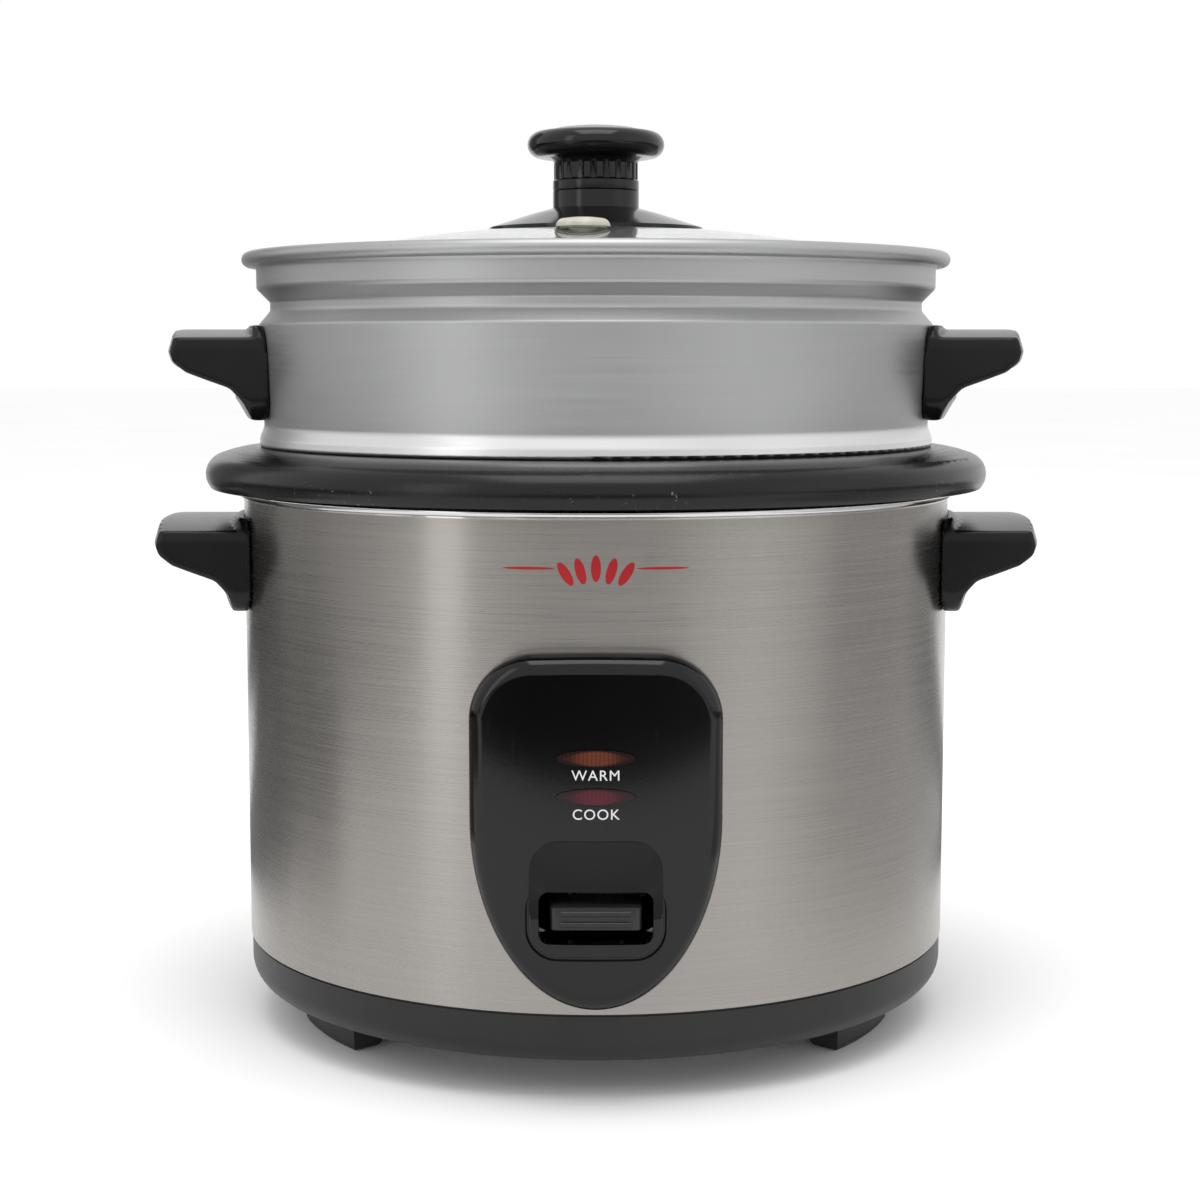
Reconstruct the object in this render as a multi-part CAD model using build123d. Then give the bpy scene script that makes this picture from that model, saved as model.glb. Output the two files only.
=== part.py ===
from build123d import *

import os
from math import asin, atan2, cos, degrees, hypot, radians, sin, sqrt

# Rice cooker with a lift-out pot, a steamer tray and a glass lid. Millimetres, +z up, the front faces -y.
# The z axis is the drum's axis and z = 0 is the worktop under the feet.

# ---- Driving dimensions: drum, base and feet
drum_radius = 118.0
drum_wall = 0.8
shell_height = 147.85  # from the drum's lower edge to the centre of its rolled bead
bead_radius = 1.35
base_height = 15.2
base_floor = 3.0
base_rounding = 7.6
base_set_in = 0.4  # how far the base ring stands inside the drum's surface
base_floor_width = 24.0
reveal = 0.8  # dark gap between base ring and drum
upstand_height = 6.8
upstand_wall = 2.6
foot_height = 12.0
foot_width = 11.0
foot_span = 22.0  # degrees round the drum
foot_rounding = 2.5
foot_set_in = 21.5
foot_angles = {"front_left": 210.0, "front_right": 330.0, "rear": 90.0}

# ---- Bottom cover and posts
cover_thickness = 0.8
cover_lap = 3.5
vent_count = 12
vent_width = 4.0
vent_length = 26.0
vent_place = 52.0  # radius of the vents' middle
post_radius = 4.0
post_set_in = 18.0
post_screw_bite = 8.0
post_angles = (45.0, 135.0, 225.0, 315.0)

# ---- Well liner, which the pot hangs in
liner_gap = 4.6  # between the drum's inner face and the liner
liner_wall = 0.6
liner_floor_rise = 36.8  # liner floor above the base ring's top
liner_corner = 6.0
liner_brim_drop = 5.2  # brim below the drum's top

# ---- Heating plate, element and thermostat
plate_radius = 88.0
plate_thickness = 9.0
plate_bore = 18.0
spacer_height = 6.2
spacer_radius = 4.0
plate_screw_set_in = 10.0
plate_screw_angles = (90.0, 210.0, 330.0)
element_radius = 58.0
element_tube = 3.5
element_depth = 1.5  # centre of the tube above the plate's underside
element_leg_x = 14.0
element_leg_radius = 2.5
element_leg_drop = 15.0
bushing_radius = 5.0
bushing_flange = 6.5
cap_wall = 1.2
cap_gap = 1.0
cap_flange = 3.0
sensor_rise = 3.0
ferrite_radius = 9.0
ferrite_height = 5.4
magnet_radius = 6.2
magnet_height = 5.6
rod_radius = 2.5
collar_radius = 5.0
collar_height = 2.0
sleeve_wall = 1.4
sleeve_top_drop = 10.0
sleeve_gap = 0.4
sleeve_flange_radius = 20.0
sleeve_flange = 1.2
sleeve_tail = 3.5
spring_radius = 12.0
spring_wire = 0.6
spring_turns = 4

# ---- Switch lever and its works
pivot_set_in = 38.0
pivot_height = 22.8  # above the base ring's top
pin_radius = 1.5
pin_head = 2.6
lever_thickness = 2.0
crank_set_in = 23.0
lever_width = 12.0
knuckle_radius = 3.5
lever_tail = 8.0
lever_angle = 4.4  # full travel, degrees
ear_wall = 1.2
ear_length = 12.0
ear_gap = 1.4
button_half_width = 13.2
button_height = 6.5
button_length = 18.0
button_proud = 12.0  # in front of the drum
button_ridge = 0.9
ridge_inset = 3.0
button_low_z_rise = 29.2  # above the base ring's top
switch_arm = 25.0  # plunger ahead of the pivot
switch_size = (16.0, 14.0, 10.5)
tag_length = 4.0
tag_width = 3.0
tag_thickness = 0.8
plunger_radius = 1.2
plunger_x = 13.0
tab_length = 8.0
tab_reach = 16.0
fork_gap = 0.7
collar_lift = 0.8
tab_lift = 0.3

# ---- Control panel, lenses and lamps
panel_half_width = 37.0
panel_height = 105.4
panel_rise = 3.4  # above the base ring's top
panel_waist = 56.0  # centre of the lower half ellipse above the panel's lowest point
panel_corner = 20.0
panel_crown = 1.8  # how far the top edge arches up in its middle
panel_depth = 8.5
panel_wall = 2.5
panel_rounding = 5.6
boss_half_width = 19.4
boss_low = 17.6  # above the panel's lowest point
boss_height = 33.6
boss_corner = 9.0
boss_round = 0.9
moat_width = 1.1
moat_depth = 1.2
moat_drop = 0.7  # how much wider it is under the hood than beside it
moat_height = 22.0
boss_proud = 3.0
boss_brow = 0.4  # how far its top edge stands out
slot_half_width = 16.6
slot_low = 21.5
slot_height = 15.2
slot_corner = 3.0
lens_half_width = 11.4
lens_half_height = 2.5
lens_flange = 0.9
lens_proud = 0.4
lens_flange_wall = 1.2
lens_rises = {"warm": 75.5, "cook": 64.2}  # above the panel's lowest point
lamp_radius = 2.2
lamp_half_length = 6.0
lamp_leg_inset = 1.0
board_half_width = 13.0
board_height = 25.0
board_thickness = 1.6
panel_post_radius = 3.0
panel_screw_tip = 1.0
panel_post_places = ((-26.0, 86.0), (26.0, 86.0), (-26.0, 38.0), (26.0, 38.0))
board_post_x = 10.0
board_post_radius = 2.0
board_screw_hole = 4.0
board_screw_bite = 3.5
window_margin = 3.0

# ---- Inner pot
pot_wall = 1.5
pot_floor = 2.0
pot_gap = 2.0  # between the pot and the liner
pot_corner = 16.0
pot_rim_rise = 13.6  # seat face above the drum's top
pot_rim_overhang = 12.4
pot_rim_thickness = 1.3
pot_roll_radius = 6.84
pot_crown_radius = 36.4
pot_seat_radius = 3.0  # width of the flat seat outside the pot's wall
pot_lip_angle = 40.0

# ---- Steamer tray
tray_wall = 1.0
tray_gap = 1.2  # between the tray's plug and the pot
plug_depth = 14.8
plug_corner = 5.0
tray_seat_radius = 5.3  # seat's width outside the plug
bulge_height = 3.2
bulge_top = 6.7
bulge_in = 1.6
wall_height = 33.3
wall_flare = 1.3
neck_in = 3.8
neck_drop = 4.4
neck_height = 2.8
shoulder = 4.4
upper_wall = 6.4
tray_bead_radius = 2.35
bulge_lean = 0.2
rim_flare = 1.6
rim_flare_height = 3.1
tray_corner_radii = (plug_corner, 0.8, 1.2, 2.0, 3.0, 1.2, 2.0, 1.0, 2.0, 2.0)  # from the plug's foot up
tray_hole_radius = 2.2
tray_hole_rings = ((0.0, 1), (14.0, 6), (28.0, 12), (42.0, 18), (56.0, 24), (70.0, 30), (84.0, 36))

# ---- Lid
dome_rise = 14.44  # apex above the dome's upper edge
glass_thickness = 4.0
glass_apex_rise = 9.4  # glass apex above the tray's rim
band_wall = 0.6
band_gap = 0.6
band_lip = 5.0
glass_play = 0.2
skirt_radius = 35.7
skirt_edge = 0.9
skirt_shoulder_radius = 21.0
skirt_shoulder_height = 4.1
collar_top_height = 11.4
knob_collar_radius = 14.4
knob_stem_radius = 14.0
knob_stem_top = 21.0
knob_head_radius = 22.7
knob_neck_radius = 15.7
knob_head_widest = 26.8
knob_height = 32.9
knob_crown_radius = 17.0
knob_screw_radius = 2.5
knob_screw_bite = 14.0
knob_screw_head_radius = 4.4
knob_screw_head = 2.2
knob_screw_tip = 1.0
knob_neck_flare = 1.0
skirt_collar_step = 1.8
washer_radius = 9.0
washer_thickness = 1.2
vent_place_xy = (-4.0, -55.0)
vent_cap_radius = 8.5
vent_cap_height = 3.5
vent_stem_radius = 4.6
vent_bore = 1.5
vent_nut_radius = 7.0
vent_nut_height = 2.5
vent_cap_rounding = 1.2
vent_stem_tail = 1.5
vent_stem_head = 1.0

# ---- Ledge handles
handle_reach = 29.5
handle_height = 30.8
handle_half_width = 39.0
handle_plate = 3.3
handle_corner = 7.0
handle_crest = 3.0
handle_lip = 4.2  # plate's top above the ledge's root
handle_brow = (3.0, 0.5)  # back from the tip, down from the arch
handle_nose = ((0.0, 8.5), (1.0, 12.0), (5.0, 15.3))  # back from the tip, down from the top
handle_throat = ((18.0, 17.8), (11.0, 20.4), (7.0, 25.0))  # out from the root, down from the top
handle_foot = 5.0
handle_wall = 4.0
handle_pocket_in = 8.0
handle_screw_y = 24.0
handle_screw_drop = 12.0
handle_screw_bite = 5.0
handle_screw_tip = 1.0
body_handle_drop = 8.8  # plate's top below the drum's top
tray_handle_drop = 0.2

# ---- Inlet, heater band, fuse and wires
inlet_half_width = 14.0
inlet_half_height = 10.0
inlet_rise = 23.8
inlet_depth = 21.5
inlet_wall = 2.0
inlet_flange = (24.0, 11.5, 3.5)
inlet_floor = 5.5
pin_spacing = 7.0
pin_stagger = 2.0
pin_blade = (2.0, 4.0)
pin_recess = 6.0
pin_tail = 5.0
inlet_screw_x = 19.0
inlet_screw_length = 11.0
heater_height = 25.0
heater_thickness = 1.5
heater_rise = 36.0  # above the liner's floor
heater_span = 120.0
fuse_radius = 2.4
fuse_length = 22.0
wire_radius = 1.1
wire_height = 12.0  # above the base's floor

# ---- Fasteners and fits
screw_radius = 1.5
screw_head_radius = 2.8
screw_head = 1.4
small_screw_radius = 1.0
small_head_radius = 2.0
hole_clearance = 0.2
seat_gap = 0.05  # between fixed pieces that touch on a curved face
running_gap = 0.05
slide_gap = 0.3
lens_gap = 0.15
lamp_gap = 0.3

# ---- Places worked out from the sizes
shell_inner = drum_radius - drum_wall
base_bottom_z = foot_height
base_top_z = base_bottom_z + base_height
shell_bottom_z = base_top_z + reveal
bead_z = shell_bottom_z + shell_height
shell_top_z = bead_z + bead_radius
floor_top_z = base_bottom_z + base_floor
liner_outer = shell_inner - liner_gap
liner_inner = liner_outer - liner_wall
liner_floor_z = base_top_z + liner_floor_rise
liner_top_z = shell_top_z - liner_brim_drop
plate_bottom_z = liner_floor_z + liner_wall + spacer_height
plate_top_z = plate_bottom_z + plate_thickness
pot_outer = liner_inner - pot_gap
pot_inner = pot_outer - pot_wall
pot_rim_z = shell_top_z + pot_rim_rise
plug_radius = pot_inner - tray_gap
panel_low_z = base_top_z + panel_rise
panel_front = drum_radius + panel_depth
panel_back = drum_radius + seat_gap
panel_hollow = panel_front - panel_wall
pivot_y = -(drum_radius - pivot_set_in)
pivot_z = base_top_z + pivot_height
lever_low_z = pivot_z - lever_thickness / 2
lever_high_z = pivot_z + lever_thickness / 2
button_front = drum_radius + button_proud
button_low_z = base_top_z + button_low_z_rise
button_z = button_low_z + button_height / 2


# ---- Shared shapes
def turned(points):
    """Solid of revolution about z, from a closed outline of (radius, height) points."""
    return revolve(make_face(Plane.XZ * Polyline(*points, close=True)), Axis.Z)


def turned_skin(points, radii, wall):
    """Sheet-metal solid of revolution: a rounded line of (radius, height) points, thickened leftwards."""
    line = FilletPolyline(*points, radius=radii)
    return revolve(make_face(Plane.XZ * offset(line, wall, side=Side.LEFT)), Axis.Z)


def post(radius, low, high, at=(0.0, 0.0)):
    """Round bar along z, from height low to height high."""
    return Pos(at[0], at[1], (low + high) / 2) * Cylinder(radius, high - low)


def tube(outer, inner, low, high, at=(0.0, 0.0)):
    """Round tube along z."""
    return post(outer, low, high, at) - post(inner, low, high, at)


def bar_x(radius, low, high, y, z):
    """Round bar along x."""
    return Pos((low + high) / 2, y, z) * Rot(0, 90, 0) * Cylinder(radius, high - low)


def bar_y(radius, low, high, x, z):
    """Round bar along y."""
    return Pos(x, (low + high) / 2, z) * Rot(90, 0, 0) * Cylinder(radius, high - low)


def block(x_span, y_span, z_span):
    """Rectangular block between the given spans."""
    spans = (x_span, y_span, z_span)
    centre = [(low + high) / 2 for low, high in spans]
    return Pos(*centre) * Box(*[high - low for low, high in spans])


def polar(radius, angle):
    """Point at a radius and an angle in degrees from +x."""
    return radius * cos(radians(angle)), radius * sin(radians(angle))


def all_of(solids):
    """One shape from several separate solids."""
    return Compound(children=[solid for shape in solids for solid in shape.solids()])


def sector(start, end, reach, low, high):
    """Wedge of a cylinder between two angles, to cut rings with."""
    middle, half = (start + end) / 2, (end - start) / 2
    far = reach / cos(radians(half))
    face = make_face(Polyline((0, 0), polar(far, middle - half), polar(far, middle + half), close=True))
    return Pos(0, 0, low) * extrude(face, high - low)


def surface_y(radius, x):
    """Front y of a drum of this radius at x."""
    return -sqrt(radius**2 - x**2)


def save(name, shape):
    """Writes one node."""
    export_step(shape, f"parts/{name}.step")


# ---- Drum, base and feet
def make_body_shell():
    """Drum with its rolled bead, and the windows behind the panel and the inlet."""
    wall = tube(drum_radius, shell_inner, shell_bottom_z, bead_z)
    bead_centre = drum_radius + bead_radius / 4
    bead = revolve(Plane.XZ * Pos(bead_centre, bead_z) * Circle(bead_radius), Axis.Z)
    shell = wall + bead
    for x, rise in panel_post_places:
        shell -= bar_y(screw_radius + hole_clearance, -drum_radius - 1, 0, x, panel_low_z + rise)
    lamp_side = board_half_width + window_margin
    board_low, board_high = board_span()
    front = (-drum_radius - 1, -drum_radius / 2)
    shell -= block((-lamp_side, lamp_side), front, (board_low - window_margin, board_high + window_margin))
    slot_z = panel_low_z + slot_low
    slot_side = slot_half_width + window_margin
    shell -= block((-slot_side, slot_side), front, (slot_z - window_margin, slot_z + slot_height + window_margin))
    for side in (-1, 1):
        for y in (-handle_screw_y, handle_screw_y):
            z = body_handle_top() - handle_screw_drop
            ends = sorted((side * drum_radius / 2, side * (drum_radius + 1)))
            shell -= bar_x(screw_radius + hole_clearance, *ends, y, z)
    rear = (drum_radius / 2, drum_radius + 1)
    side, tall = inlet_half_width + hole_clearance, inlet_half_height + hole_clearance
    shell -= block((-side, side), rear, (inlet_z() - tall, inlet_z() + tall))
    for x in (-inlet_screw_x, inlet_screw_x):
        shell -= bar_y(screw_radius + hole_clearance, *rear, x, inlet_z())
    return shell


def make_base_ring():
    """Plastic base: outer wall rounded at the bottom, floor ring, and an upstand inside the drum."""
    outer = drum_radius - base_set_in
    floor_inner = drum_radius - base_set_in - base_rounding - base_floor_width
    recess_radius = floor_inner + cover_lap + hole_clearance
    upstand = shell_inner - seat_gap
    face = make_face(
        Polyline(
            (floor_inner, base_bottom_z + cover_thickness),
            (recess_radius, base_bottom_z + cover_thickness),
            (recess_radius, base_bottom_z),
            (outer, base_bottom_z),
            (outer, base_top_z),
            (upstand, base_top_z),
            (upstand, base_top_z + upstand_height),
            (upstand - upstand_wall, base_top_z + upstand_height),
            (upstand - upstand_wall, floor_top_z),
            (floor_inner, floor_top_z),
            close=True,
        )
    )
    low_outer = face.vertices().sort_by_distance((outer, base_bottom_z))[0]
    ring = revolve(Plane.XZ * fillet(low_outer, base_rounding), Axis.Z)
    for angle in foot_angles.values():
        at = polar(drum_radius - foot_set_in, angle)
        ring -= post(screw_radius + running_gap, base_bottom_z, floor_top_z, at)
    for angle in post_angles:
        at = polar(drum_radius - post_set_in, angle)
        ring -= post(screw_radius + hole_clearance, base_bottom_z, floor_top_z, at)
    for at in cover_screw_places():
        ring -= post(screw_radius + running_gap, base_bottom_z, floor_top_z, at)
    return ring


def cover_radius():
    """Outer radius of the bottom cover."""
    return drum_radius - base_set_in - base_rounding - base_floor_width + cover_lap


def cover_screw_places():
    """Centres of the cover's screws, on the lap between cover and base ring."""
    return [polar(cover_radius() - cover_lap / 2, angle) for angle in (30.0, 150.0, 270.0)]


def make_bottom_cover():
    """Steel disc with radial vents, let into the base ring from below."""
    low = base_bottom_z
    disc = post(cover_radius(), low, low + cover_thickness)
    for step in range(vent_count):
        angle = 360.0 * step / vent_count
        vent = extrude(SlotOverall(vent_length, vent_width), 4 * cover_thickness)
        disc -= Rot(0, 0, angle) * Pos(vent_place, 0, low - cover_thickness) * vent
    for at in cover_screw_places():
        disc -= post(screw_radius + hole_clearance, low, low + cover_thickness, at)
    return disc


def make_foot(angle):
    """Foot block: a stretch of ring with rounded lower edges and a recess for its screw."""
    middle = drum_radius - foot_set_in
    ring = tube(middle + foot_width / 2, middle - foot_width / 2, 0, base_bottom_z)
    half = foot_span / 2
    foot = ring & sector(angle - half, angle + half, 2 * drum_radius, 0, base_bottom_z)
    foot = fillet(foot.edges().group_by(Axis.Z)[0], foot_rounding)
    at = polar(middle, angle)
    foot -= post(screw_radius + hole_clearance, 0, base_bottom_z, at)
    foot -= post(screw_head_radius + hole_clearance, 0, base_bottom_z / 2, at)
    return foot


def make_foot_screws():
    """One screw up through each foot into the base ring's floor."""
    screws = []
    for angle in foot_angles.values():
        at = polar(drum_radius - foot_set_in, angle)
        head_top = base_bottom_z / 2
        screws.append(post(screw_head_radius, head_top - screw_head, head_top, at))
        screws[-1] += post(screw_radius, head_top, floor_top_z, at)
    return all_of(screws)


def make_cover_screws():
    """Screws that hold the bottom cover."""
    low = base_bottom_z
    screws = []
    for at in cover_screw_places():
        shank = post(screw_radius, low, floor_top_z, at)
        screws.append(shank + post(screw_head_radius, low - screw_head, low, at))
    return all_of(screws)


def make_support_posts():
    """Posts between the base ring's floor and the liner's floor."""
    posts = []
    for angle in post_angles:
        at = polar(drum_radius - post_set_in, angle)
        solid = post(post_radius, floor_top_z, liner_floor_z, at)
        posts.append(solid - post(screw_radius + running_gap, floor_top_z, liner_floor_z, at))
    return all_of(posts)


def make_post_screws():
    """Screws into both ends of every support post."""
    screws = []
    for angle in post_angles:
        at = polar(drum_radius - post_set_in, angle)
        low, high = base_bottom_z, liner_floor_z + liner_wall
        lower_head = post(screw_head_radius, low - screw_head, low, at)
        screws.append(lower_head + post(screw_radius, low, low + post_screw_bite, at))
        upper_head = post(screw_head_radius, high, high + screw_head, at)
        screws.append(upper_head + post(screw_radius, high - post_screw_bite, high, at))
    return all_of(screws)


# ---- Well liner, heating plate and thermostat
def sleeve_outer():
    """Outer radius of the magnet's guide sleeve."""
    return magnet_radius + sleeve_gap + sleeve_wall


def make_well_liner():
    """Inner steel cup with a brim that meets the drum, and the holes in its floor."""
    line = [
        (sleeve_outer() + hole_clearance, liner_floor_z),
        (liner_outer, liner_floor_z),
        (liner_outer, liner_top_z),
        (shell_inner - seat_gap, liner_top_z),
    ]
    liner = turned_skin(line, [liner_corner, liner_wall], liner_wall)
    low, high = liner_floor_z, liner_floor_z + liner_wall
    for angle in post_angles:
        at = polar(drum_radius - post_set_in, angle)
        liner -= post(screw_radius + hole_clearance, low, high, at)
    for angle in plate_screw_angles:
        at = polar(plate_radius - plate_screw_set_in, angle)
        liner -= post(screw_radius + hole_clearance, low, high, at)
    for at in element_leg_places():
        liner -= post(bushing_radius + hole_clearance, low, high, at)
    return liner


def make_heating_plate():
    """Cast plate with a groove for the element underneath and a bore for the thermostat."""
    plate = tube(plate_radius, plate_bore, plate_bottom_z, plate_top_z)
    plate = fillet(plate.edges().group_by(Axis.Z)[-1].sort_by(SortBy.RADIUS)[-1], 2.0)
    groove_z = plate_bottom_z + element_depth
    groove = Plane.XZ * Pos(element_radius, groove_z) * Circle(element_tube + seat_gap)
    plate -= revolve(groove, Axis.Z)
    height = 2 * (element_tube + seat_gap)
    plate -= tube(element_radius + height / 2, element_radius - height / 2, plate_bottom_z, groove_z)
    for angle in plate_screw_angles:
        at = polar(plate_radius - plate_screw_set_in, angle)
        plate -= post(screw_radius + running_gap, plate_bottom_z, plate_bottom_z + plate_thickness / 2, at)
    return plate


def element_leg_places():
    """Where the element's two cold ends turn down, at the rear."""
    y = sqrt(element_radius**2 - element_leg_x**2)
    return [(-element_leg_x, y), (element_leg_x, y)]


def make_heating_element():
    """Tubular ring, open at the rear, with two cold legs that pass down through the liner."""
    z = plate_bottom_z + element_depth
    gap = degrees(asin(element_leg_x / element_radius))
    loop = revolve(Plane.XZ * Pos(element_radius, z) * Circle(element_tube), Axis.Z, 360 - 2 * gap)
    element = Rot(0, 0, 90 + gap) * loop
    for at in element_leg_places():
        element += post(element_leg_radius, z - element_leg_drop, z, at)
    return element


def make_element_bushings():
    """Ceramic bushings round the element's legs, in the liner's floor."""
    bushings = []
    under = 3.0
    for at in element_leg_places():
        top = liner_floor_z + liner_wall
        bushing = post(bushing_radius, liner_floor_z - under, top, at)
        bushing += post(bushing_flange, liner_floor_z - under, liner_floor_z - hole_clearance, at)
        bushings.append(bushing - post(element_leg_radius + running_gap, liner_floor_z - under, top, at))
    return all_of(bushings)


def make_plate_spacers():
    """Spacer tubes that hold the heating plate above the liner's floor."""
    low, high = liner_floor_z + liner_wall, plate_bottom_z
    places = [polar(plate_radius - plate_screw_set_in, angle) for angle in plate_screw_angles]
    return all_of([tube(spacer_radius, screw_radius + hole_clearance, low, high, at) for at in places])


def make_plate_screws():
    """Screws from under the liner's floor, through the spacers, into the heating plate."""
    screws = []
    for angle in plate_screw_angles:
        at = polar(plate_radius - plate_screw_set_in, angle)
        shank = post(screw_radius, liner_floor_z, plate_bottom_z + plate_thickness / 2, at)
        screws.append(shank + post(screw_head_radius, liner_floor_z - screw_head, liner_floor_z, at))
    return all_of(screws)


def make_sensor_sleeve():
    """Guide tube for the magnet, with a flange on the liner's floor."""
    low = liner_floor_z + liner_wall
    sleeve = post(sleeve_outer(), liner_floor_z - sleeve_tail, plate_top_z - sleeve_top_drop)
    sleeve += post(sleeve_flange_radius, low, low + sleeve_flange)
    return sleeve - post(magnet_radius + sleeve_gap, 0, plate_top_z)


def make_sensor_cap():
    """Cap that the pot presses down, with a flange that stops it under the heating plate."""
    outer = plate_bore - cap_gap
    flange_top = plate_top_z - plate_thickness - sensor_rise - slide_gap
    low = flange_top - cap_wall
    cap = tube(outer, outer - cap_wall, low, plate_top_z)
    cap += post(outer, plate_top_z - cap_wall, plate_top_z)
    return cap + tube(outer + cap_flange, outer - cap_wall, low, flange_top)


def ferrite_low_z():
    """Underside of the ferrite, which the magnet pulls to."""
    return plate_top_z - cap_wall - ferrite_height


def make_sensor_spring():
    """Spring that pushes the cap up, between the sleeve's flange and the cap."""
    low = liner_floor_z + liner_wall + sleeve_flange + spring_wire + seat_gap
    high = plate_top_z - cap_wall - spring_wire - seat_gap
    coil = Helix(pitch=(high - low) / spring_turns, height=high - low, radius=spring_radius)
    wire = sweep(Plane(coil @ 0, z_dir=coil % 0) * Circle(spring_wire), path=coil)
    return Pos(0, 0, low) * wire


def lever_lift():
    """How far the lever's full travel raises the magnet at the drum's axis."""
    return -pivot_y * radians(lever_angle)


def magnet_top_z():
    """Top of the magnet at rest, just short of the ferrite after the full lift."""
    return ferrite_low_z() - lever_lift() - slide_gap


def make_magnet():
    """Round magnet on top of the rod."""
    top = magnet_top_z()
    return post(magnet_radius, top - magnet_height, top)


def make_magnet_rod():
    """Rod with the collar that the lever's fork lifts."""
    top = magnet_top_z() - magnet_height
    collar = lever_high_z + collar_lift
    rod = post(rod_radius, lever_low_z - lever_lift(), top)
    return rod + post(collar_radius, collar, collar + collar_height)


# ---- Switch lever, bracket, micro switch
def make_lever_arm():
    """Steel lever: knuckle at the pivot, cranked front, fork at the rear and a tab for the switch."""
    crank_y = -drum_radius + crank_set_in
    button_end = -button_front + button_length / 2
    side = Polyline((lever_tail, pivot_z), (pivot_y, pivot_z), (crank_y, button_z), (button_end, button_z))
    half = lever_width / 2
    strip = Plane.YZ * trace(side, lever_thickness)
    arm = extrude(strip, half, both=True)
    arm += bar_x(knuckle_radius, -half - ear_gap / 2, half + ear_gap / 2, pivot_y, pivot_z)
    tab_y = pivot_y + switch_arm
    tab_span = (tab_y - tab_length / 2, tab_y + tab_length / 2)
    arm += block((0, tab_reach), tab_span, (lever_low_z, lever_high_z))
    arm -= bar_x(pin_radius + running_gap, -2 * half, 2 * half, pivot_y, pivot_z)
    slot = rod_radius + fork_gap
    arm -= block((-slot, slot), (-slot, 2 * lever_tail), (lever_low_z - 1, lever_high_z + 1))
    return arm


def make_lever_button():
    """Plastic tip pushed over the lever's front end, with two ridges for the thumb."""
    back = -button_front + button_length
    front = -button_front + button_ridge
    half = lever_width / 2
    ridge_half_length = button_half_width - ridge_inset
    z_span = (button_low_z, button_low_z + button_height)
    button = block((-button_half_width, button_half_width), (front, back), z_span)
    button = fillet(button.edges().filter_by(Axis.Z).group_by(Axis.Y)[0], 2.0)
    for z in (button_z - button_height / 4, button_z + button_height / 4):
        ridge = bar_x(button_ridge, -ridge_half_length, ridge_half_length, front, z)
        button += ridge
    strip_z = (button_z - lever_thickness / 2, button_z + lever_thickness / 2)
    button_end = -button_front + button_length / 2 - lever_thickness / 2
    return button - block((-half, half), (button_end, back + 1), strip_z)


def make_lever_bracket():
    """Steel channel under the liner's floor, with two ears that carry the pivot pin."""
    inner = lever_width / 2 + ear_gap
    y_span = (pivot_y - ear_length / 2, pivot_y + ear_length / 2)
    low = pivot_z - knuckle_radius - pin_head / 2
    web_span = (liner_floor_z - ear_wall, liner_floor_z)
    bracket = block((-inner - ear_wall, inner + ear_wall), y_span, web_span)
    for side in (-1, 1):
        ear = sorted((side * inner, side * (inner + ear_wall)))
        bracket += block(ear, y_span, (low, liner_floor_z - ear_wall))
    return bracket - bar_x(pin_radius + running_gap, -2 * inner, 2 * inner, pivot_y, pivot_z)


def make_lever_pin():
    """Pivot pin with a head at both ends."""
    reach = lever_width / 2 + ear_gap + ear_wall + hole_clearance
    pin = bar_x(pin_radius, -reach, reach, pivot_y, pivot_z)
    for side in (-1, 1):
        ends = sorted((side * reach, side * (reach + ear_wall)))
        pin += bar_x(pin_head, *ends, pivot_y, pivot_z)
    return pin


def make_micro_switch():
    """Switch body under the liner's floor, with a bore for its plunger and two tags."""
    width, length, height = switch_size
    y = pivot_y + switch_arm
    x_low = plunger_x - width / 3
    body_span = (liner_floor_z - height, liner_floor_z)
    body = block((x_low, x_low + width), (y - length / 2, y + length / 2), body_span)
    body -= post(plunger_radius + running_gap, 0, liner_floor_z - height / 2, (plunger_x, y))
    for z in (liner_floor_z - height / 4, liner_floor_z - 3 * height / 4):
        tag_span = (x_low + width, x_low + width + tag_length)
        tag_wide = (y - tag_width / 2, y + tag_width / 2)
        body += block(tag_span, tag_wide, (z - tag_thickness / 2, z + tag_thickness / 2))
    return body


def make_switch_plunger():
    """Plunger that the lever's tab pushes up."""
    low = lever_high_z + tab_lift
    height = switch_size[2]
    at = (plunger_x, pivot_y + switch_arm)
    travel = switch_arm * radians(lever_angle)
    return post(plunger_radius, low, liner_floor_z - height / 2 - travel - slide_gap, at)


# ---- Control panel, lenses and lamps
def panel_outline(inset=0.0):
    """Front outline of the panel in x and z: arched top, rounded corners, half an ellipse below."""
    half, corner = panel_half_width - inset, panel_corner - inset
    waist, top = panel_low_z + panel_waist, panel_low_z + panel_height
    arch = (panel_half_width**2 + panel_crown**2) / (2 * panel_crown)
    upper = Pos(0, (waist + top) / 2) * Rectangle(2 * half, top - waist)
    upper &= Pos(0, top - arch) * Circle(arch - inset)
    upper = fillet(upper.vertices().group_by(Axis.Y)[-1], corner)
    depth = panel_waist - inset
    lower = Pos(0, waist) * Ellipse(half, depth) & Pos(0, waist - depth) * Rectangle(4 * half, 2 * depth)
    return upper + lower


def lens_outline(rise, grow=0.0):
    """Long oval outline of a lamp lens."""
    return Pos(0, panel_low_z + rise) * Ellipse(lens_half_width + grow, lens_half_height + grow)


def forward(outline):
    """Prism of an x-z outline, from the axis to well in front of the panel."""
    return extrude(Plane.XZ * outline, 2 * drum_radius)


def front_ring(outer, inner):
    """Ring about the drum's axis, as high as the panel."""
    return tube(outer, inner, base_bottom_z, panel_low_z + panel_height + base_height)


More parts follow.
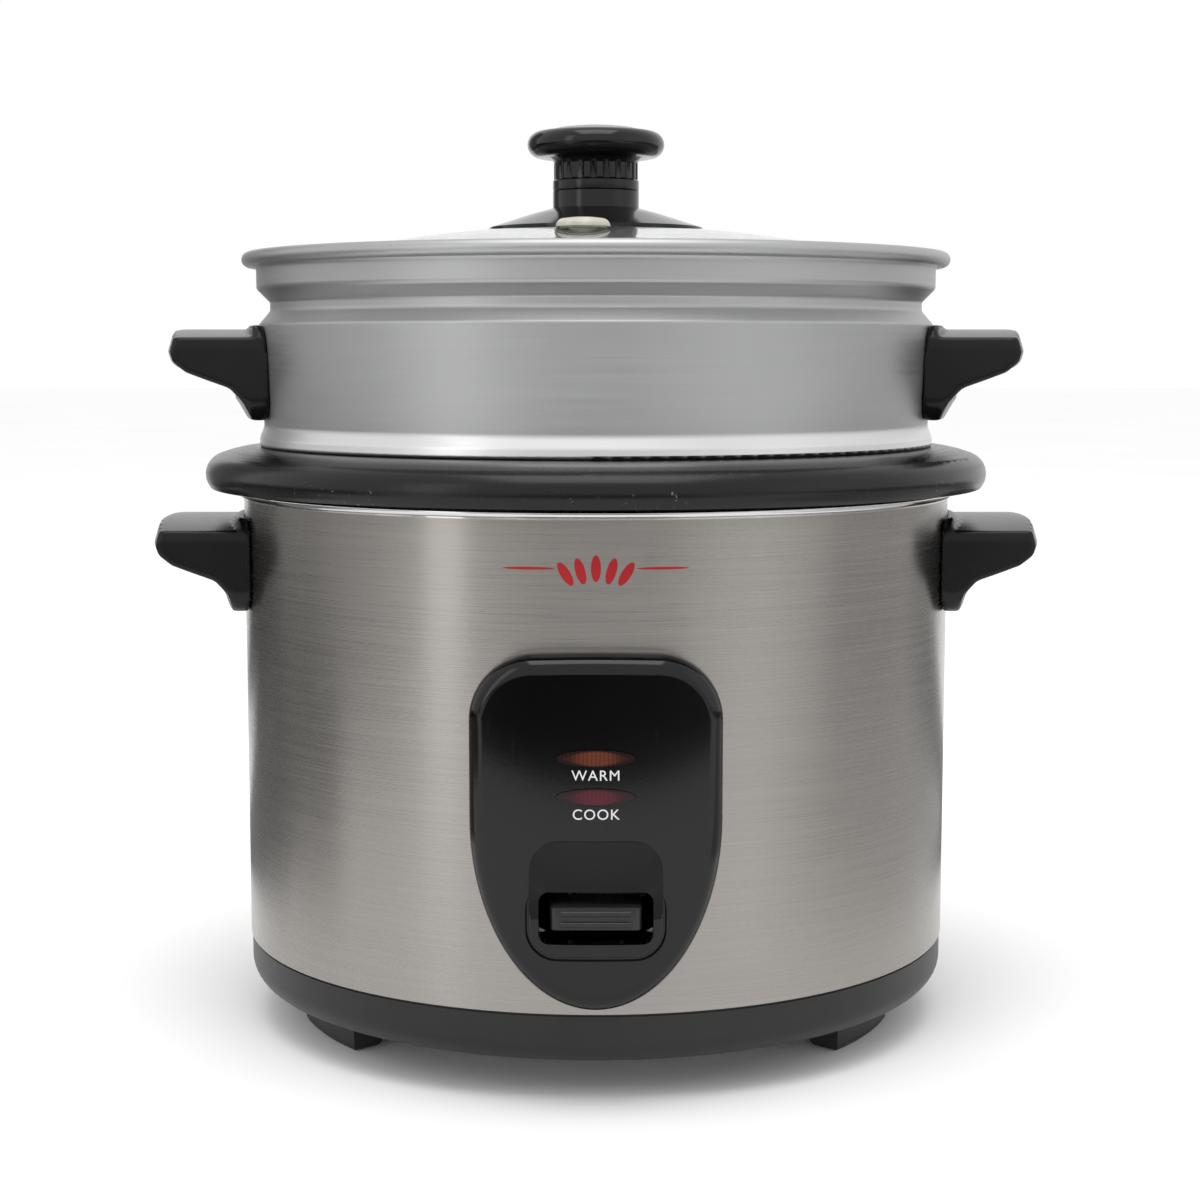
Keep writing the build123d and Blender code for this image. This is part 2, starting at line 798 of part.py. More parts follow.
def make_control_panel():
    """Hollow gloss moulding on the drum's front, with switch hood, lens openings and screw posts."""
    hull = forward(panel_outline()) & front_ring(panel_front, panel_back)
    before = Vector(0, -2 * drum_radius, panel_low_z + panel_waist)
    face = hull.faces().filter_by(GeomType.CYLINDER).sort_by_distance(before)[0]
    hull = fillet(face.edges(), panel_rounding)
    hollow = forward(panel_outline(panel_wall)) & front_ring(panel_hollow, panel_back - 1)
    panel = hull - hollow
    boss_z = panel_low_z + boss_low
    boss_plan = RectangleRounded(2 * boss_half_width, boss_height, boss_corner)
    boss_plan = Pos(0, boss_z + boss_height / 2) * boss_plan
    brow = (panel_front + boss_brow, boss_z + boss_height)
    hood = turned(
        [
            (panel_hollow, boss_z),
            (panel_front + boss_proud, boss_z),
            (panel_front + boss_proud, boss_z + boss_height / 3),
            brow,
            (panel_hollow, brow[1]),
        ]
    )
    boss = forward(boss_plan) & hood
    rim = boss.faces().filter_by(GeomType.CYLINDER).sort_by_distance(Vector(0, -2 * drum_radius, boss_z))[0]
    boss = fillet(rim.edges().group_by(Axis.Z)[0], boss_round)
    moat = Pos(0, boss_z + (moat_height - moat_width - moat_drop) / 2) * RectangleRounded(
        2 * (boss_half_width + moat_width), moat_height + moat_width + moat_drop, boss_corner
    )
    panel -= forward(moat) & front_ring(panel_front + 1, panel_front - moat_depth)
    panel += boss
    for x, rise in panel_post_places:
        pillar = bar_y(panel_post_radius, -panel_hollow, -drum_radius / 2, x, panel_low_z + rise)
        panel += pillar & front_ring(panel_hollow + panel_wall / 2, panel_back)
    board_face = board_front()
    for x in (-board_post_x, board_post_x):
        panel += bar_y(board_post_radius, -panel_hollow - panel_wall / 4, board_face, x, board_middle())
        panel -= bar_y(small_screw_radius + running_gap, board_face - board_screw_hole, board_face, x, board_middle())
    for x, rise in panel_post_places:
        depth = surface_y(panel_hollow, x)
        panel -= bar_y(screw_radius + running_gap, depth, -drum_radius / 2, x, panel_low_z + rise)
    slot_z = panel_low_z + slot_low + slot_height / 2
    panel -= forward(Pos(0, slot_z) * RectangleRounded(2 * slot_half_width, slot_height, slot_corner))
    for rise in lens_rises.values():
        panel -= forward(lens_outline(rise, lens_gap))
    return panel


def make_lens(rise):
    """Lamp lens in its opening, with a flange behind the panel's wall."""
    flange_back = panel_hollow - lens_flange_wall
    lens = forward(lens_outline(rise)) & front_ring(panel_front + lens_proud, flange_back)
    flange = forward(lens_outline(rise, lens_flange)) & front_ring(panel_hollow - seat_gap, flange_back)
    return lens + flange


def board_span():
    """Lowest and highest z of the lamp board."""
    middle = board_middle()
    return middle - board_height / 2, middle + board_height / 2


def board_middle():
    """Height half-way between the two lamps."""
    return panel_low_z + sum(lens_rises.values()) / 2


def board_front():
    """Front face of the lamp board."""
    return -(panel_hollow - lens_flange_wall) + lamp_gap + 2 * lamp_radius + hole_clearance


def make_lamp(rise):
    """Neon lamp lying across the board behind its lens, on two legs."""
    y = board_front() - lamp_radius - hole_clearance
    z = panel_low_z + rise
    lamp = bar_x(lamp_radius, -lamp_half_length, lamp_half_length, y, z)
    for x in (-lamp_half_length + lamp_leg_inset, lamp_half_length - lamp_leg_inset):
        lamp += bar_y(0.4, y, board_front(), x, z)
    return lamp


def make_lamp_board():
    """Circuit board that carries the lamps."""
    back = board_front() + board_thickness
    board = block((-board_half_width, board_half_width), (board_front(), back), board_span())
    for x in (-board_post_x, board_post_x):
        board -= bar_y(small_screw_radius + hole_clearance, board_front() - 1, back + 1, x, board_middle())
    return board


def make_board_screws():
    """Two screws from the rear through the board into the panel's posts."""
    back = board_front() + board_thickness
    screws = []
    for x in (-board_post_x, board_post_x):
        head = bar_y(small_head_radius, back, back + screw_head, x, board_middle())
        screws.append(head + bar_y(small_screw_radius, board_front() - board_screw_bite, back, x, board_middle()))
    return all_of(screws)


def make_panel_screws():
    """Screws from inside the drum into the panel's posts."""
    screws = []
    for x, rise in panel_post_places:
        edge = abs(x) + screw_head_radius
        under = surface_y(shell_inner, edge) + seat_gap
        head = bar_y(screw_head_radius, under, under + screw_head, x, panel_low_z + rise)
        tip = surface_y(panel_hollow, x) + panel_screw_tip
        screws.append(head + bar_y(screw_radius, tip, under, x, panel_low_z + rise))
    return all_of(screws)


# ---- Inner pot
def make_inner_pot():
    """Pot with a flat floor, rounded corner and a broad rim rolled outwards and down."""
    floor_z = plate_top_z
    outer_corner = pot_corner + pot_floor
    cup = make_face(
        Polyline(
            (0, floor_z),
            (pot_outer, floor_z),
            (pot_outer, pot_rim_z - pot_rim_thickness / 2),
            (pot_inner, pot_rim_z - pot_rim_thickness / 2),
            (pot_inner, floor_z + pot_floor),
            (0, floor_z + pot_floor),
            close=True,
        )
    )
    cup = fillet(cup.vertices().sort_by_distance((pot_inner, floor_z + pot_floor))[0], pot_corner)
    cup = fillet(cup.vertices().sort_by_distance((pot_outer, floor_z))[0], outer_corner)
    seat_out = pot_outer + pot_seat_radius
    crown = (seat_out, pot_rim_z - pot_crown_radius)
    roll_x = drum_radius + pot_rim_overhang - pot_roll_radius
    reach = pot_crown_radius - pot_roll_radius
    roll = (roll_x, crown[1] + sqrt(reach**2 - (roll_x - crown[0]) ** 2))
    turn = degrees(atan2(roll[1] - crown[1], roll[0] - crown[0]))
    line = Line((pot_inner, pot_rim_z), (seat_out, pot_rim_z))
    line += CenterArc(crown, pot_crown_radius, 90, turn - 90)
    line += CenterArc(roll, pot_roll_radius, turn, -turn - pot_lip_angle)
    rim = make_face(offset(line, pot_rim_thickness, side=Side.RIGHT))
    mouth = 1.0
    section = cup + rim
    inner_edge = section.vertices().sort_by_distance((pot_inner, pot_rim_z))[0]
    return revolve(Plane.XZ * fillet(inner_edge, mouth), Axis.Z)


# ---- Steamer tray
def tray_outer():
    """Radius of the tray at the foot of its main wall."""
    return plug_radius + tray_seat_radius - bulge_in


def tray_wall_line():
    """Foot and top of the tray's main wall, as (radius, height) on its outer face."""
    foot = (tray_outer(), pot_rim_z + bulge_top)
    return foot, (tray_outer() + wall_flare, foot[1] + wall_height)


def shoulder_line():
    """Foot and top of the sloping shoulder on the tray's outer face."""
    top_of_wall = tray_wall_line()[1]
    foot = (top_of_wall[0] - neck_in, top_of_wall[1] + neck_drop + neck_height)
    return foot, (foot[0] + shoulder, foot[1] + shoulder)


def tray_rim_z():
    """Top of the tray's rolled rim."""
    return shoulder_line()[1][1] + upper_wall + rim_flare_height + tray_bead_radius


def make_steamer_tray():
    """Aluminium tray: perforated floor, plug that drops into the pot, bulged seat, neck and rolled rim."""
    wall_foot, wall_top = tray_wall_line()
    shoulder_foot, shoulder_top = shoulder_line()
    plug_z = pot_rim_z - plug_depth
    line = [
        (0, plug_z),
        (plug_radius, plug_z),
        (plug_radius, pot_rim_z),
        (plug_radius + tray_seat_radius, pot_rim_z),
        (plug_radius + tray_seat_radius - bulge_lean, pot_rim_z + bulge_height),
        wall_foot,
        wall_top,
        (shoulder_foot[0], shoulder_foot[1] - neck_height),
        shoulder_foot,
        shoulder_top,
        (shoulder_top[0], shoulder_top[1] + upper_wall),
        (shoulder_top[0] + rim_flare, tray_rim_z() - tray_bead_radius),
    ]
    tray = turned_skin(line, tray_corner_radii, tray_wall)
    bead_centre = (shoulder_top[0] + tray_bead_radius, tray_rim_z() - tray_bead_radius)
    tray += revolve(Plane.XZ * Pos(*bead_centre) * Circle(tray_bead_radius), Axis.Z)
    holes = []
    for radius, count in tray_hole_rings:
        for step in range(count):
            at = polar(radius, 360.0 * step / count)
            holes.append(post(tray_hole_radius, plug_z - 1, plug_z + tray_wall + 1, at))
    tray -= holes
    for side in (-1, 1):
        for y in (-handle_screw_y, handle_screw_y):
            ends = sorted((side * tray_outer() / 2, side * (tray_outer() + 4)))
            tray -= bar_x(screw_radius + hole_clearance, *ends, y, tray_handle_top() - handle_screw_drop)
    return tray


# ---- Lid
def apex_z():
    """Top of the glass dome on the axis."""
    return tray_rim_z() + glass_apex_rise


def glass_sphere():
    """Radius of the dome's upper face, from its width and its rise."""
    return (glass_edge() ** 2 + dome_rise**2) / (2 * dome_rise)


def glass_top(radius, gap=0.0):
    """Height of the dome's upper face at a radius, plus a gap."""
    return apex_z() - glass_sphere() + sqrt((glass_sphere() + gap) ** 2 - radius**2)


def glass_under(radius, gap=0.0):
    """Height of the dome's lower face at a radius, less a gap."""
    under = glass_sphere() - glass_thickness - gap
    return apex_z() - glass_sphere() + sqrt(under**2 - radius**2)


def band_outer():
    """Outer radius of the lid's band, inside the tray's upper wall."""
    return shoulder_line()[1][0] - tray_wall - band_gap


def glass_edge():
    """Radius of the glass."""
    return band_outer() - band_wall - glass_play


def dome(gap=0.0, reach=None):
    """Everything under the dome's upper face, grown by a gap."""
    ball = Pos(0, 0, apex_z() - glass_sphere()) * Sphere(glass_sphere() + gap)
    return ball & post(reach or glass_edge(), tray_rim_z() - 30, apex_z() + 5)


def make_lid_glass():
    """Dome of even thickness, with holes for the knob's screw and the steam vent."""
    edge, middle = glass_edge(), glass_edge() / 2
    outline = [(0, apex_z()), (middle, glass_top(middle)), (edge, glass_top(edge))]
    under = [(edge, glass_under(edge)), (middle, glass_under(middle))]
    low = (0, apex_z() - glass_thickness)
    line = ThreePointArc(*outline)
    line += Line(outline[2], under[0])
    line += ThreePointArc(under[0], under[1], low)
    line += Line(low, outline[0])
    glass = revolve(Plane.XZ * make_face(line), Axis.Z)
    glass -= post(knob_screw_radius + hole_clearance, 0, 2 * apex_z())
    return glass - post(vent_stem_radius + hole_clearance, 0, 2 * apex_z(), vent_place_xy)


def make_lid_band():
    """Steel band round the glass, with a lip over and under its edge, standing on the tray's shoulder."""
    outer, inner = band_outer(), band_outer() - band_wall
    lip = outer - band_lip
    shoulder_foot = shoulder_line()[0]
    rest = shoulder_foot[1] + (outer - shoulder_foot[0]) + tray_wall * sqrt(2) + slide_gap * sqrt(2)
    gap = 2 * seat_gap
    points = [
        (outer, rest),
        (outer, glass_top(outer, gap) + band_wall),
        (lip, glass_top(lip, gap) + band_wall),
        (lip, glass_top(lip, gap)),
        (inner, glass_top(inner, gap)),
        (inner, glass_under(inner, gap)),
        (lip, glass_under(lip, gap)),
        (lip, glass_under(lip, gap) - band_wall),
        (inner, glass_under(inner, gap) - band_wall),
        (inner, rest),
    ]
    return turned(points)


def knob_z(height):
    """Height above the dome's apex."""
    return apex_z() + height


def make_knob_skirt():
    """Broad black skirt under the knob, hollowed to the dome."""
    edge_z = glass_top(skirt_radius) + skirt_edge
    points = [
        (knob_screw_radius + hole_clearance, tray_rim_z()),
        (skirt_radius, tray_rim_z()),
        (skirt_radius, edge_z),
        (skirt_shoulder_radius, knob_z(skirt_shoulder_height)),
        (knob_collar_radius, knob_z(skirt_shoulder_height + skirt_collar_step)),
        (knob_collar_radius, knob_z(collar_top_height)),
        (knob_screw_radius + hole_clearance, knob_z(collar_top_height)),
    ]
    return turned(points) - dome(seat_gap)


def make_knob():
    """Knob: stem and a mushroom head with a rounded edge."""
    foot, top = knob_z(collar_top_height), knob_z(knob_height)
    widest = knob_z(knob_head_widest)
    under = knob_z(knob_stem_top)
    line = Line((0, foot), (knob_stem_radius, foot))
    line += Line((knob_stem_radius, foot), (knob_stem_radius, under - knob_neck_flare))
    line += Line((knob_stem_radius, under - knob_neck_flare), (knob_neck_radius, under))
    line += Spline(
        (knob_neck_radius, under),
        (knob_head_radius, widest),
        (knob_crown_radius, top),
        tangents=((1, 0.2), (-1, 0)),
    )
    line += Line((knob_crown_radius, top), (0, top))
    line += Line((0, top), (0, foot))
    knob = revolve(Plane.XZ * make_face(line), Axis.Z)
    return knob - post(knob_screw_radius + running_gap, foot - 1, foot + knob_screw_bite)


def make_knob_screw():
    """Screw from under the glass into the knob."""
    under = glass_under(0) - washer_thickness - 2 * seat_gap
    head = post(knob_screw_head_radius, under - knob_screw_head, under)
    return head + post(knob_screw_radius, under, knob_z(collar_top_height) + knob_screw_bite - knob_screw_tip)


def make_knob_washer():
    """Sealing washer between the glass and the screw's head."""
    top = glass_under(washer_radius, seat_gap)
    low = glass_under(0) - washer_thickness - 2 * seat_gap
    return tube(washer_radius, knob_screw_radius + running_gap, low, top)


def make_vent_cap():
    """Round steam vent: cap on the glass, hollow stem through it."""
    top = glass_top(hypot(*vent_place_xy)) + vent_cap_height
    cap = post(vent_cap_radius, tray_rim_z(), top, vent_place_xy)
    cap = fillet(cap.edges().group_by(Axis.Z)[-1], vent_cap_rounding)
    cap -= dome(seat_gap)
    low = glass_under(hypot(*vent_place_xy)) - vent_nut_height - vent_stem_tail
    cap += post(vent_stem_radius, low, top - vent_stem_head, vent_place_xy)
    return cap - post(vent_bore, low, top, vent_place_xy)


def make_vent_nut():
    """Nut on the vent's stem, under the glass."""
    distance = hypot(*vent_place_xy) + vent_nut_radius
    top = glass_under(distance, seat_gap)
    return tube(vent_nut_radius, vent_stem_radius + running_gap, top - vent_nut_height, top, vent_place_xy)


# ---- Ledge handles
def body_handle_top():
    """Top of the body handles' plates."""
    return shell_top_z - body_handle_drop


def tray_handle_top():
    """Top of the tray handles' plates."""
    return tray_wall_line()[1][1] - tray_handle_drop


def make_handle(side, wall_low, wall_high):
    """Ledge handle on a wall given as two (radius, height) points: plate, ledge and finger pocket."""
    top, low = wall_high[1], wall_high[1] - handle_height
    slope = (wall_high[0] - wall_low[0]) / (wall_high[1] - wall_low[1])
    root_top = wall_high[0] + seat_gap
    root_low = root_top - slope * handle_height
    tip = wall_high[0] + handle_reach
    arch = 2 * handle_crest
    plate_low = [(root_low, low), (root_low + handle_plate, low)]
    plate = turned(plate_low + [(root_top + handle_plate, top), (root_top, top)])
    arch_top = top - handle_lip + arch
    ledge_outline = [
        (root_top + slope * (arch_top - top), arch_top),
        (root_top + 2, arch_top),
        (tip - handle_brow[0], arch_top - handle_brow[1]),
    ]
    ledge_outline += [(tip - back, top - drop) for back, drop in handle_nose]
    ledge_outline += [(root_top + out, top - drop) for out, drop in handle_throat]
    ledge_outline += [(root_low + handle_foot, low), (root_low, low)]
    ledge = turned(ledge_outline)
    crest_radius = handle_half_width**2 / (2 * handle_crest)
    crest_z = top - handle_lip + handle_crest
    length = 4 * drum_radius
    ledge &= Pos(0, 0, crest_z - crest_radius) * Rot(0, 90, 0) * Cylinder(crest_radius, length)
    pocket_in = root_top + handle_pocket_in
    pocket_out = tip - handle_wall
    pocket = tube(pocket_out, pocket_in, low - 1, top - handle_lip - handle_wall)
    pocket_half = handle_half_width - handle_wall
    pocket &= block((-length, length), (-pocket_half, pocket_half), (0, 2 * top))
    ledge -= pocket
    whole = plate + ledge
    plan = Pos(0, (top + low) / 2) * RectangleRounded(2 * handle_half_width, handle_height, handle_corner)
    reach = (0, 2 * drum_radius)
    cheek = block(reach, (-handle_half_width, handle_half_width), (low, top))
    front_view = extrude(Plane.YZ * plan, 2 * drum_radius)
    handle = whole & cheek & front_view
    for y in (-handle_screw_y, handle_screw_y):
        end = root_top + handle_screw_bite
        handle -= bar_x(screw_radius + running_gap, 0, end, y, top - handle_screw_drop)
    return Rot(0, 0, 90 - 90 * side) * handle


def make_wall_screws(wall_radius, z):
    """Four screws from inside a round wall outwards into the two handles."""
    screws = []
    for side in (-1, 1):
        for y in (-handle_screw_y, handle_screw_y):
            under = -surface_y(wall_radius, abs(y) + screw_head_radius) - seat_gap
            tip = wall_radius + handle_screw_bite - handle_screw_tip
            head = sorted((side * (under - screw_head), side * under))
            shank = sorted((side * under, side * tip))
            screws.append(bar_x(screw_head_radius, *head, y, z) + bar_x(screw_radius, *shank, y, z))
    return all_of(screws)


# ---- Inlet, heater band, fuse and wires
def inlet_z():
    """Height of the inlet's middle."""
    return base_top_z + inlet_rise


def inlet_face():
    """Rear face of the inlet's flange."""
    return drum_radius + inlet_flange[2]


def blade_places():
    """Centres of the three pins, as x and z."""
    z = inlet_z()
    return [(-pin_spacing, z - pin_stagger), (pin_spacing, z - pin_stagger), (0.0, z + pin_stagger)]


def make_inlet_socket():
    """Appliance inlet: flange on the drum, body through its window, recess for the plug."""
    z, face = inlet_z(), inlet_face()
    flange_x, flange_z, flange_y = inlet_flange
    wide, tall = inlet_half_width, inlet_half_height
    flange = block((-flange_x, flange_x), (face - 3 * flange_y, face), (z - flange_z, z + flange_z))
    flange -= tube(drum_radius + seat_gap, 0.1, 0, 2 * shell_top_z)
    body = block((-wide, wide), (face - inlet_depth, face), (z - tall, z + tall))
    socket = flange + body
    wide, tall = wide - inlet_wall, tall - inlet_wall
    socket -= block((-wide, wide), (face - inlet_depth + inlet_floor, face + 1), (z - tall, z + tall))
    half_x, half_z = pin_blade[0] / 2, pin_blade[1] / 2
    for x, pin_z in blade_places():
        socket -= block((x - half_x, x + half_x), (0, face), (pin_z - half_z, pin_z + half_z))
    for x in (-inlet_screw_x, inlet_screw_x):
        socket -= bar_y(screw_radius + hole_clearance, drum_radius / 2, face + 1, x, z)
    return socket


def make_inlet_pins():
    """Three flat pins through the inlet's floor."""
    half_x, half_z = pin_blade[0] / 2, pin_blade[1] / 2
    y_span = (inlet_face() - inlet_depth - pin_tail, inlet_face() - pin_recess)
    blades = []
    for x, z in blade_places():
        blades.append(block((x - half_x, x + half_x), y_span, (z - half_z, z + half_z)))
    return all_of(blades)


def make_inlet_screws():
    """Two screws through the inlet's flange."""
    face, z = inlet_face(), inlet_z()
    screws = []
    for x in (-inlet_screw_x, inlet_screw_x):
        head = bar_y(screw_head_radius, face, face + screw_head, x, z)
        screws.append(head + bar_y(screw_radius, face - inlet_screw_length, face, x, z))
    return all_of(screws)


def make_keep_warm_heater():
    """Flat heater band on the rear half of the liner's wall."""
    low = liner_floor_z + heater_rise
    inner = liner_outer + seat_gap
    band = tube(inner + heater_thickness, inner, low, low + heater_height)
    return band & sector(90 - heater_span / 2, 90 + heater_span / 2, drum_radius, low, low + heater_height)


def make_thermal_fuse():
    """Thermal fuse in a sleeve, lying against the underside of the liner's floor."""
    z = liner_floor_z - fuse_radius - seat_gap
    y = element_radius / 2
    return bar_y(fuse_radius, y - fuse_length / 2, y + fuse_length / 2, -element_radius / 2, z)


def make_internal_wires():
    """Wires from the inlet's pins to the element's legs, the fuse and the micro switch."""
    tail_y = inlet_face() - inlet_depth - pin_tail
    left, right = blade_places()[0], blade_places()[1]
    leg_left, leg_right = element_leg_places()
    leg_end = plate_bottom_z + element_depth - element_leg_drop
    low = floor_top_z + wire_height
    switch_x = plunger_x + 2 * switch_size[0] / 3 + tag_length
    switch_y = pivot_y + switch_arm
    tag_z = liner_floor_z - 3 * switch_size[2] / 4
    fuse_x, fuse_y = -element_radius / 2, element_radius / 2
    fuse_z = liner_floor_z - fuse_radius - seat_gap
    routes = [
        [
            (left[0], tail_y, left[1]),
            (left[0], tail_y - 12, left[1]),
            (-40, fuse_y + 36, low),
            (fuse_x, fuse_y + 26, fuse_z),
            (fuse_x, fuse_y + fuse_length / 2, fuse_z),
        ],
        [
            (fuse_x, fuse_y - fuse_length / 2, fuse_z),
            (fuse_x, fuse_y - 20, fuse_z),
            (-40, 0, low),
            (leg_left[0], leg_left[1], low),
            (leg_left[0], leg_left[1], leg_end),
        ],
        [
            (right[0], tail_y, right[1]),
            (right[0], tail_y - 12, right[1]),
            (44, 62, low),
            (52, -20, low),
            (switch_x + 12, switch_y, tag_z),
            (switch_x, switch_y, tag_z),
        ],
    ]
    wires = []
    for route in routes:
        path = FilletPolyline(*route, radius=4.0)
        wires.append(sweep(Plane(path @ 0, z_dir=path % 0) * Circle(wire_radius), path=path))
    return all_of(wires)


# ---- The nodes
os.makedirs("parts", exist_ok=True)
save("body_shell", make_body_shell())
save("base_ring", make_base_ring())
save("bottom_cover", make_bottom_cover())
for name, angle in foot_angles.items():
    save(f"foot_{name}", make_foot(angle))
save("foot_screws", make_foot_screws())
save("cover_screws", make_cover_screws())
save("support_posts", make_support_posts())
save("post_screws", make_post_screws())
save("well_liner", make_well_liner())
save("heating_plate", make_heating_plate())
save("heating_element", make_heating_element())
save("element_bushings", make_element_bushings())
save("plate_spacers", make_plate_spacers())
save("plate_screws", make_plate_screws())
save("sensor_sleeve", make_sensor_sleeve())
save("sensor_cap", make_sensor_cap())
save("sensor_ferrite", post(ferrite_radius, ferrite_low_z(), plate_top_z - cap_wall))
save("sensor_spring", make_sensor_spring())
save("magnet", make_magnet())
save("magnet_rod", make_magnet_rod())
save("lever_arm", make_lever_arm())
save("lever_button", make_lever_button())
save("lever_bracket", make_lever_bracket())
save("lever_pin", make_lever_pin())
save("micro_switch", make_micro_switch())
save("switch_plunger", make_switch_plunger())
save("control_panel", make_control_panel())
save("panel_screws", make_panel_screws())
for name, rise in lens_rises.items():
    save(f"lens_{name}", make_lens(rise))
    save(f"lamp_{name}", make_lamp(rise))
save("lamp_board", make_lamp_board())
save("board_screws", make_board_screws())
body_wall = ((drum_radius, body_handle_top() - handle_height), (drum_radius, body_handle_top()))
save("body_handle_left", make_handle(-1, *body_wall))
save("body_handle_right", make_handle(1, *body_wall))
save("body_handle_screws", make_wall_screws(shell_inner, body_handle_top() - handle_screw_drop))
save("inlet_socket", make_inlet_socket())
save("inlet_pins", make_inlet_pins())
save("inlet_screws", make_inlet_screws())
save("keep_warm_heater", make_keep_warm_heater())
save("thermal_fuse", make_thermal_fuse())
save("internal_wires", make_internal_wires())
save("inner_pot", make_inner_pot())
save("steamer_tray", make_steamer_tray())
wall_foot, wall_top = tray_wall_line()
tray_wall_top = (wall_top[0], tray_handle_top())
save("tray_handle_left", make_handle(-1, wall_foot, tray_wall_top))
save("tray_handle_right", make_handle(1, wall_foot, tray_wall_top))
tray_screw_wall = tray_outer() + wall_flare / 2 - tray_wall
save("tray_handle_rivets", make_wall_screws(tray_screw_wall, tray_handle_top() - handle_screw_drop))
save("lid_glass", make_lid_glass())
save("lid_band", make_lid_band())
save("vent_cap", make_vent_cap())
save("vent_nut", make_vent_nut())
save("knob_skirt", make_knob_skirt())
save("knob", make_knob())
save("knob_screw", make_knob_screw())
save("knob_washer", make_knob_washer())
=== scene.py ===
"""A drum rice cooker with a lift-out pot, a steamer tray and a glass lid, built round its fixed frame."""

import math

import bpy
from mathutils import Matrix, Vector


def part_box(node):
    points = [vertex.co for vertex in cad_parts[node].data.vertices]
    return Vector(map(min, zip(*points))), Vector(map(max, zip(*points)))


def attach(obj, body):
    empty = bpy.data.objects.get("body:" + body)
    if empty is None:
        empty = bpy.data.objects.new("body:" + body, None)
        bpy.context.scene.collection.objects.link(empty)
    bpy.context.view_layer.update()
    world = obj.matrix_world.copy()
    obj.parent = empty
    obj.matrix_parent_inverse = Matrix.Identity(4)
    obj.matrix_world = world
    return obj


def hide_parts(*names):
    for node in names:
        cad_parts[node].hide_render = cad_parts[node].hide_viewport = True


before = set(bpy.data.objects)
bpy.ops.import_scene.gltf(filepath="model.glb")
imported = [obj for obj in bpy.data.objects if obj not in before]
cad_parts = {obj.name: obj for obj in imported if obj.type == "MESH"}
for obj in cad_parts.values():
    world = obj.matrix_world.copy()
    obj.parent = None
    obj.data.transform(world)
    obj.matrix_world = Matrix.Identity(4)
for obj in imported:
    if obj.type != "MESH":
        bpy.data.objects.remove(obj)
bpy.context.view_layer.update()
MM = 0.001

# ---------------------------------------------------------------- base ring and feet
# The base ring is a moulding in dark grey thermoplastic with a fine spark-eroded grain, pushed up under
# the drum. Three feet of the same plastic are screwed up into it and are scuffed where they stand.


class Wire:
    """One socket of a material. Arithmetic on it adds Math nodes, and node() adds any other node."""

    def __init__(self, tree, socket=None):
        self.tree = tree
        self.socket = socket

    def node(self, kind, settings=None, inputs=None, output=0):
        made = self.tree.nodes.new(kind)
        for name, value in (settings or {}).items():
            setattr(made, name, value)
        for name, value in (inputs or {}).items():
            if isinstance(value, Wire):
                self.tree.links.new(value.socket, made.inputs[name])
            else:
                made.inputs[name].default_value = value
        return Wire(self.tree, made.outputs[output]) if made.outputs else None

    def out(self, name):
        return Wire(self.tree, self.socket.node.outputs[name])

    def maths(self, operation, first, second=0.0):
        return self.node("ShaderNodeMath", {"operation": operation}, {0: first, 1: second})

    def blend(self, low, high):
        """The colour low where this value is 0 and high where it is 1."""
        return self.node("ShaderNodeMix", {"data_type": "RGBA"}, {0: self, 6: low, 7: high}, 2)

    def ramp(self, low, high):
        """0 where this value is low, 1 where it is high, with a soft change between."""
        return self.node(
            "ShaderNodeMapRange",
            {"interpolation_type": "SMOOTHSTEP"},
            {"Value": self, "From Min": low, "From Max": high},
        )

    def __add__(self, other):
        return self.maths("ADD", self, other)

    def __radd__(self, other):
        return self.maths("ADD", other, self)

    def __sub__(self, other):
        return self.maths("SUBTRACT", self, other)

    def __rsub__(self, other):
        return self.maths("SUBTRACT", other, self)

    def __mul__(self, other):
        return self.maths("MULTIPLY", self, other)

    def __rmul__(self, other):
        return self.maths("MULTIPLY", other, self)

    def __pow__(self, power):
        return self.maths("POWER", self, power)


def new_finish(name):
    """An empty material and the wire that its nodes are added with."""
    material = bpy.data.materials.new(name)
    material.use_nodes = True
    material.node_tree.nodes.clear()
    return material, Wire(material.node_tree)


def close_finish(wire, shader):
    wire.node("ShaderNodeOutputMaterial", None, {"Surface": shader})


def place_of(wire):
    """The x, y and z of a point on the object."""
    apart = wire.node("ShaderNodeSeparateXYZ", None, {0: wire.node("ShaderNodeTexCoord", output="Object")})
    return apart.out("X"), apart.out("Y"), apart.out("Z")


def cloud(wire, scale, detail=3.0, stretch=(1.0, 1.0, 1.0)):
    """Soft noise with about scale lumps to the metre."""
    place = wire.node("ShaderNodeTexCoord", output="Object")
    place = wire.node("ShaderNodeMapping", None, {"Vector": place, "Scale": stretch})
    return wire.node("ShaderNodeTexNoise", None, {"Vector": place, "Scale": scale, "Detail": detail})


def bumped(wire, height, depth):
    """The surface's normal, raised by up to depth metres where height is 1."""
    return wire.node("ShaderNodeBump", None, {"Height": height, "Distance": depth, "Strength": 1.0})


def shade(level, warmth=0.0):
    """A grey, a little warmer where warmth is above zero."""
    return (level * (1 + warmth), level, level * (1 - warmth), 1.0)


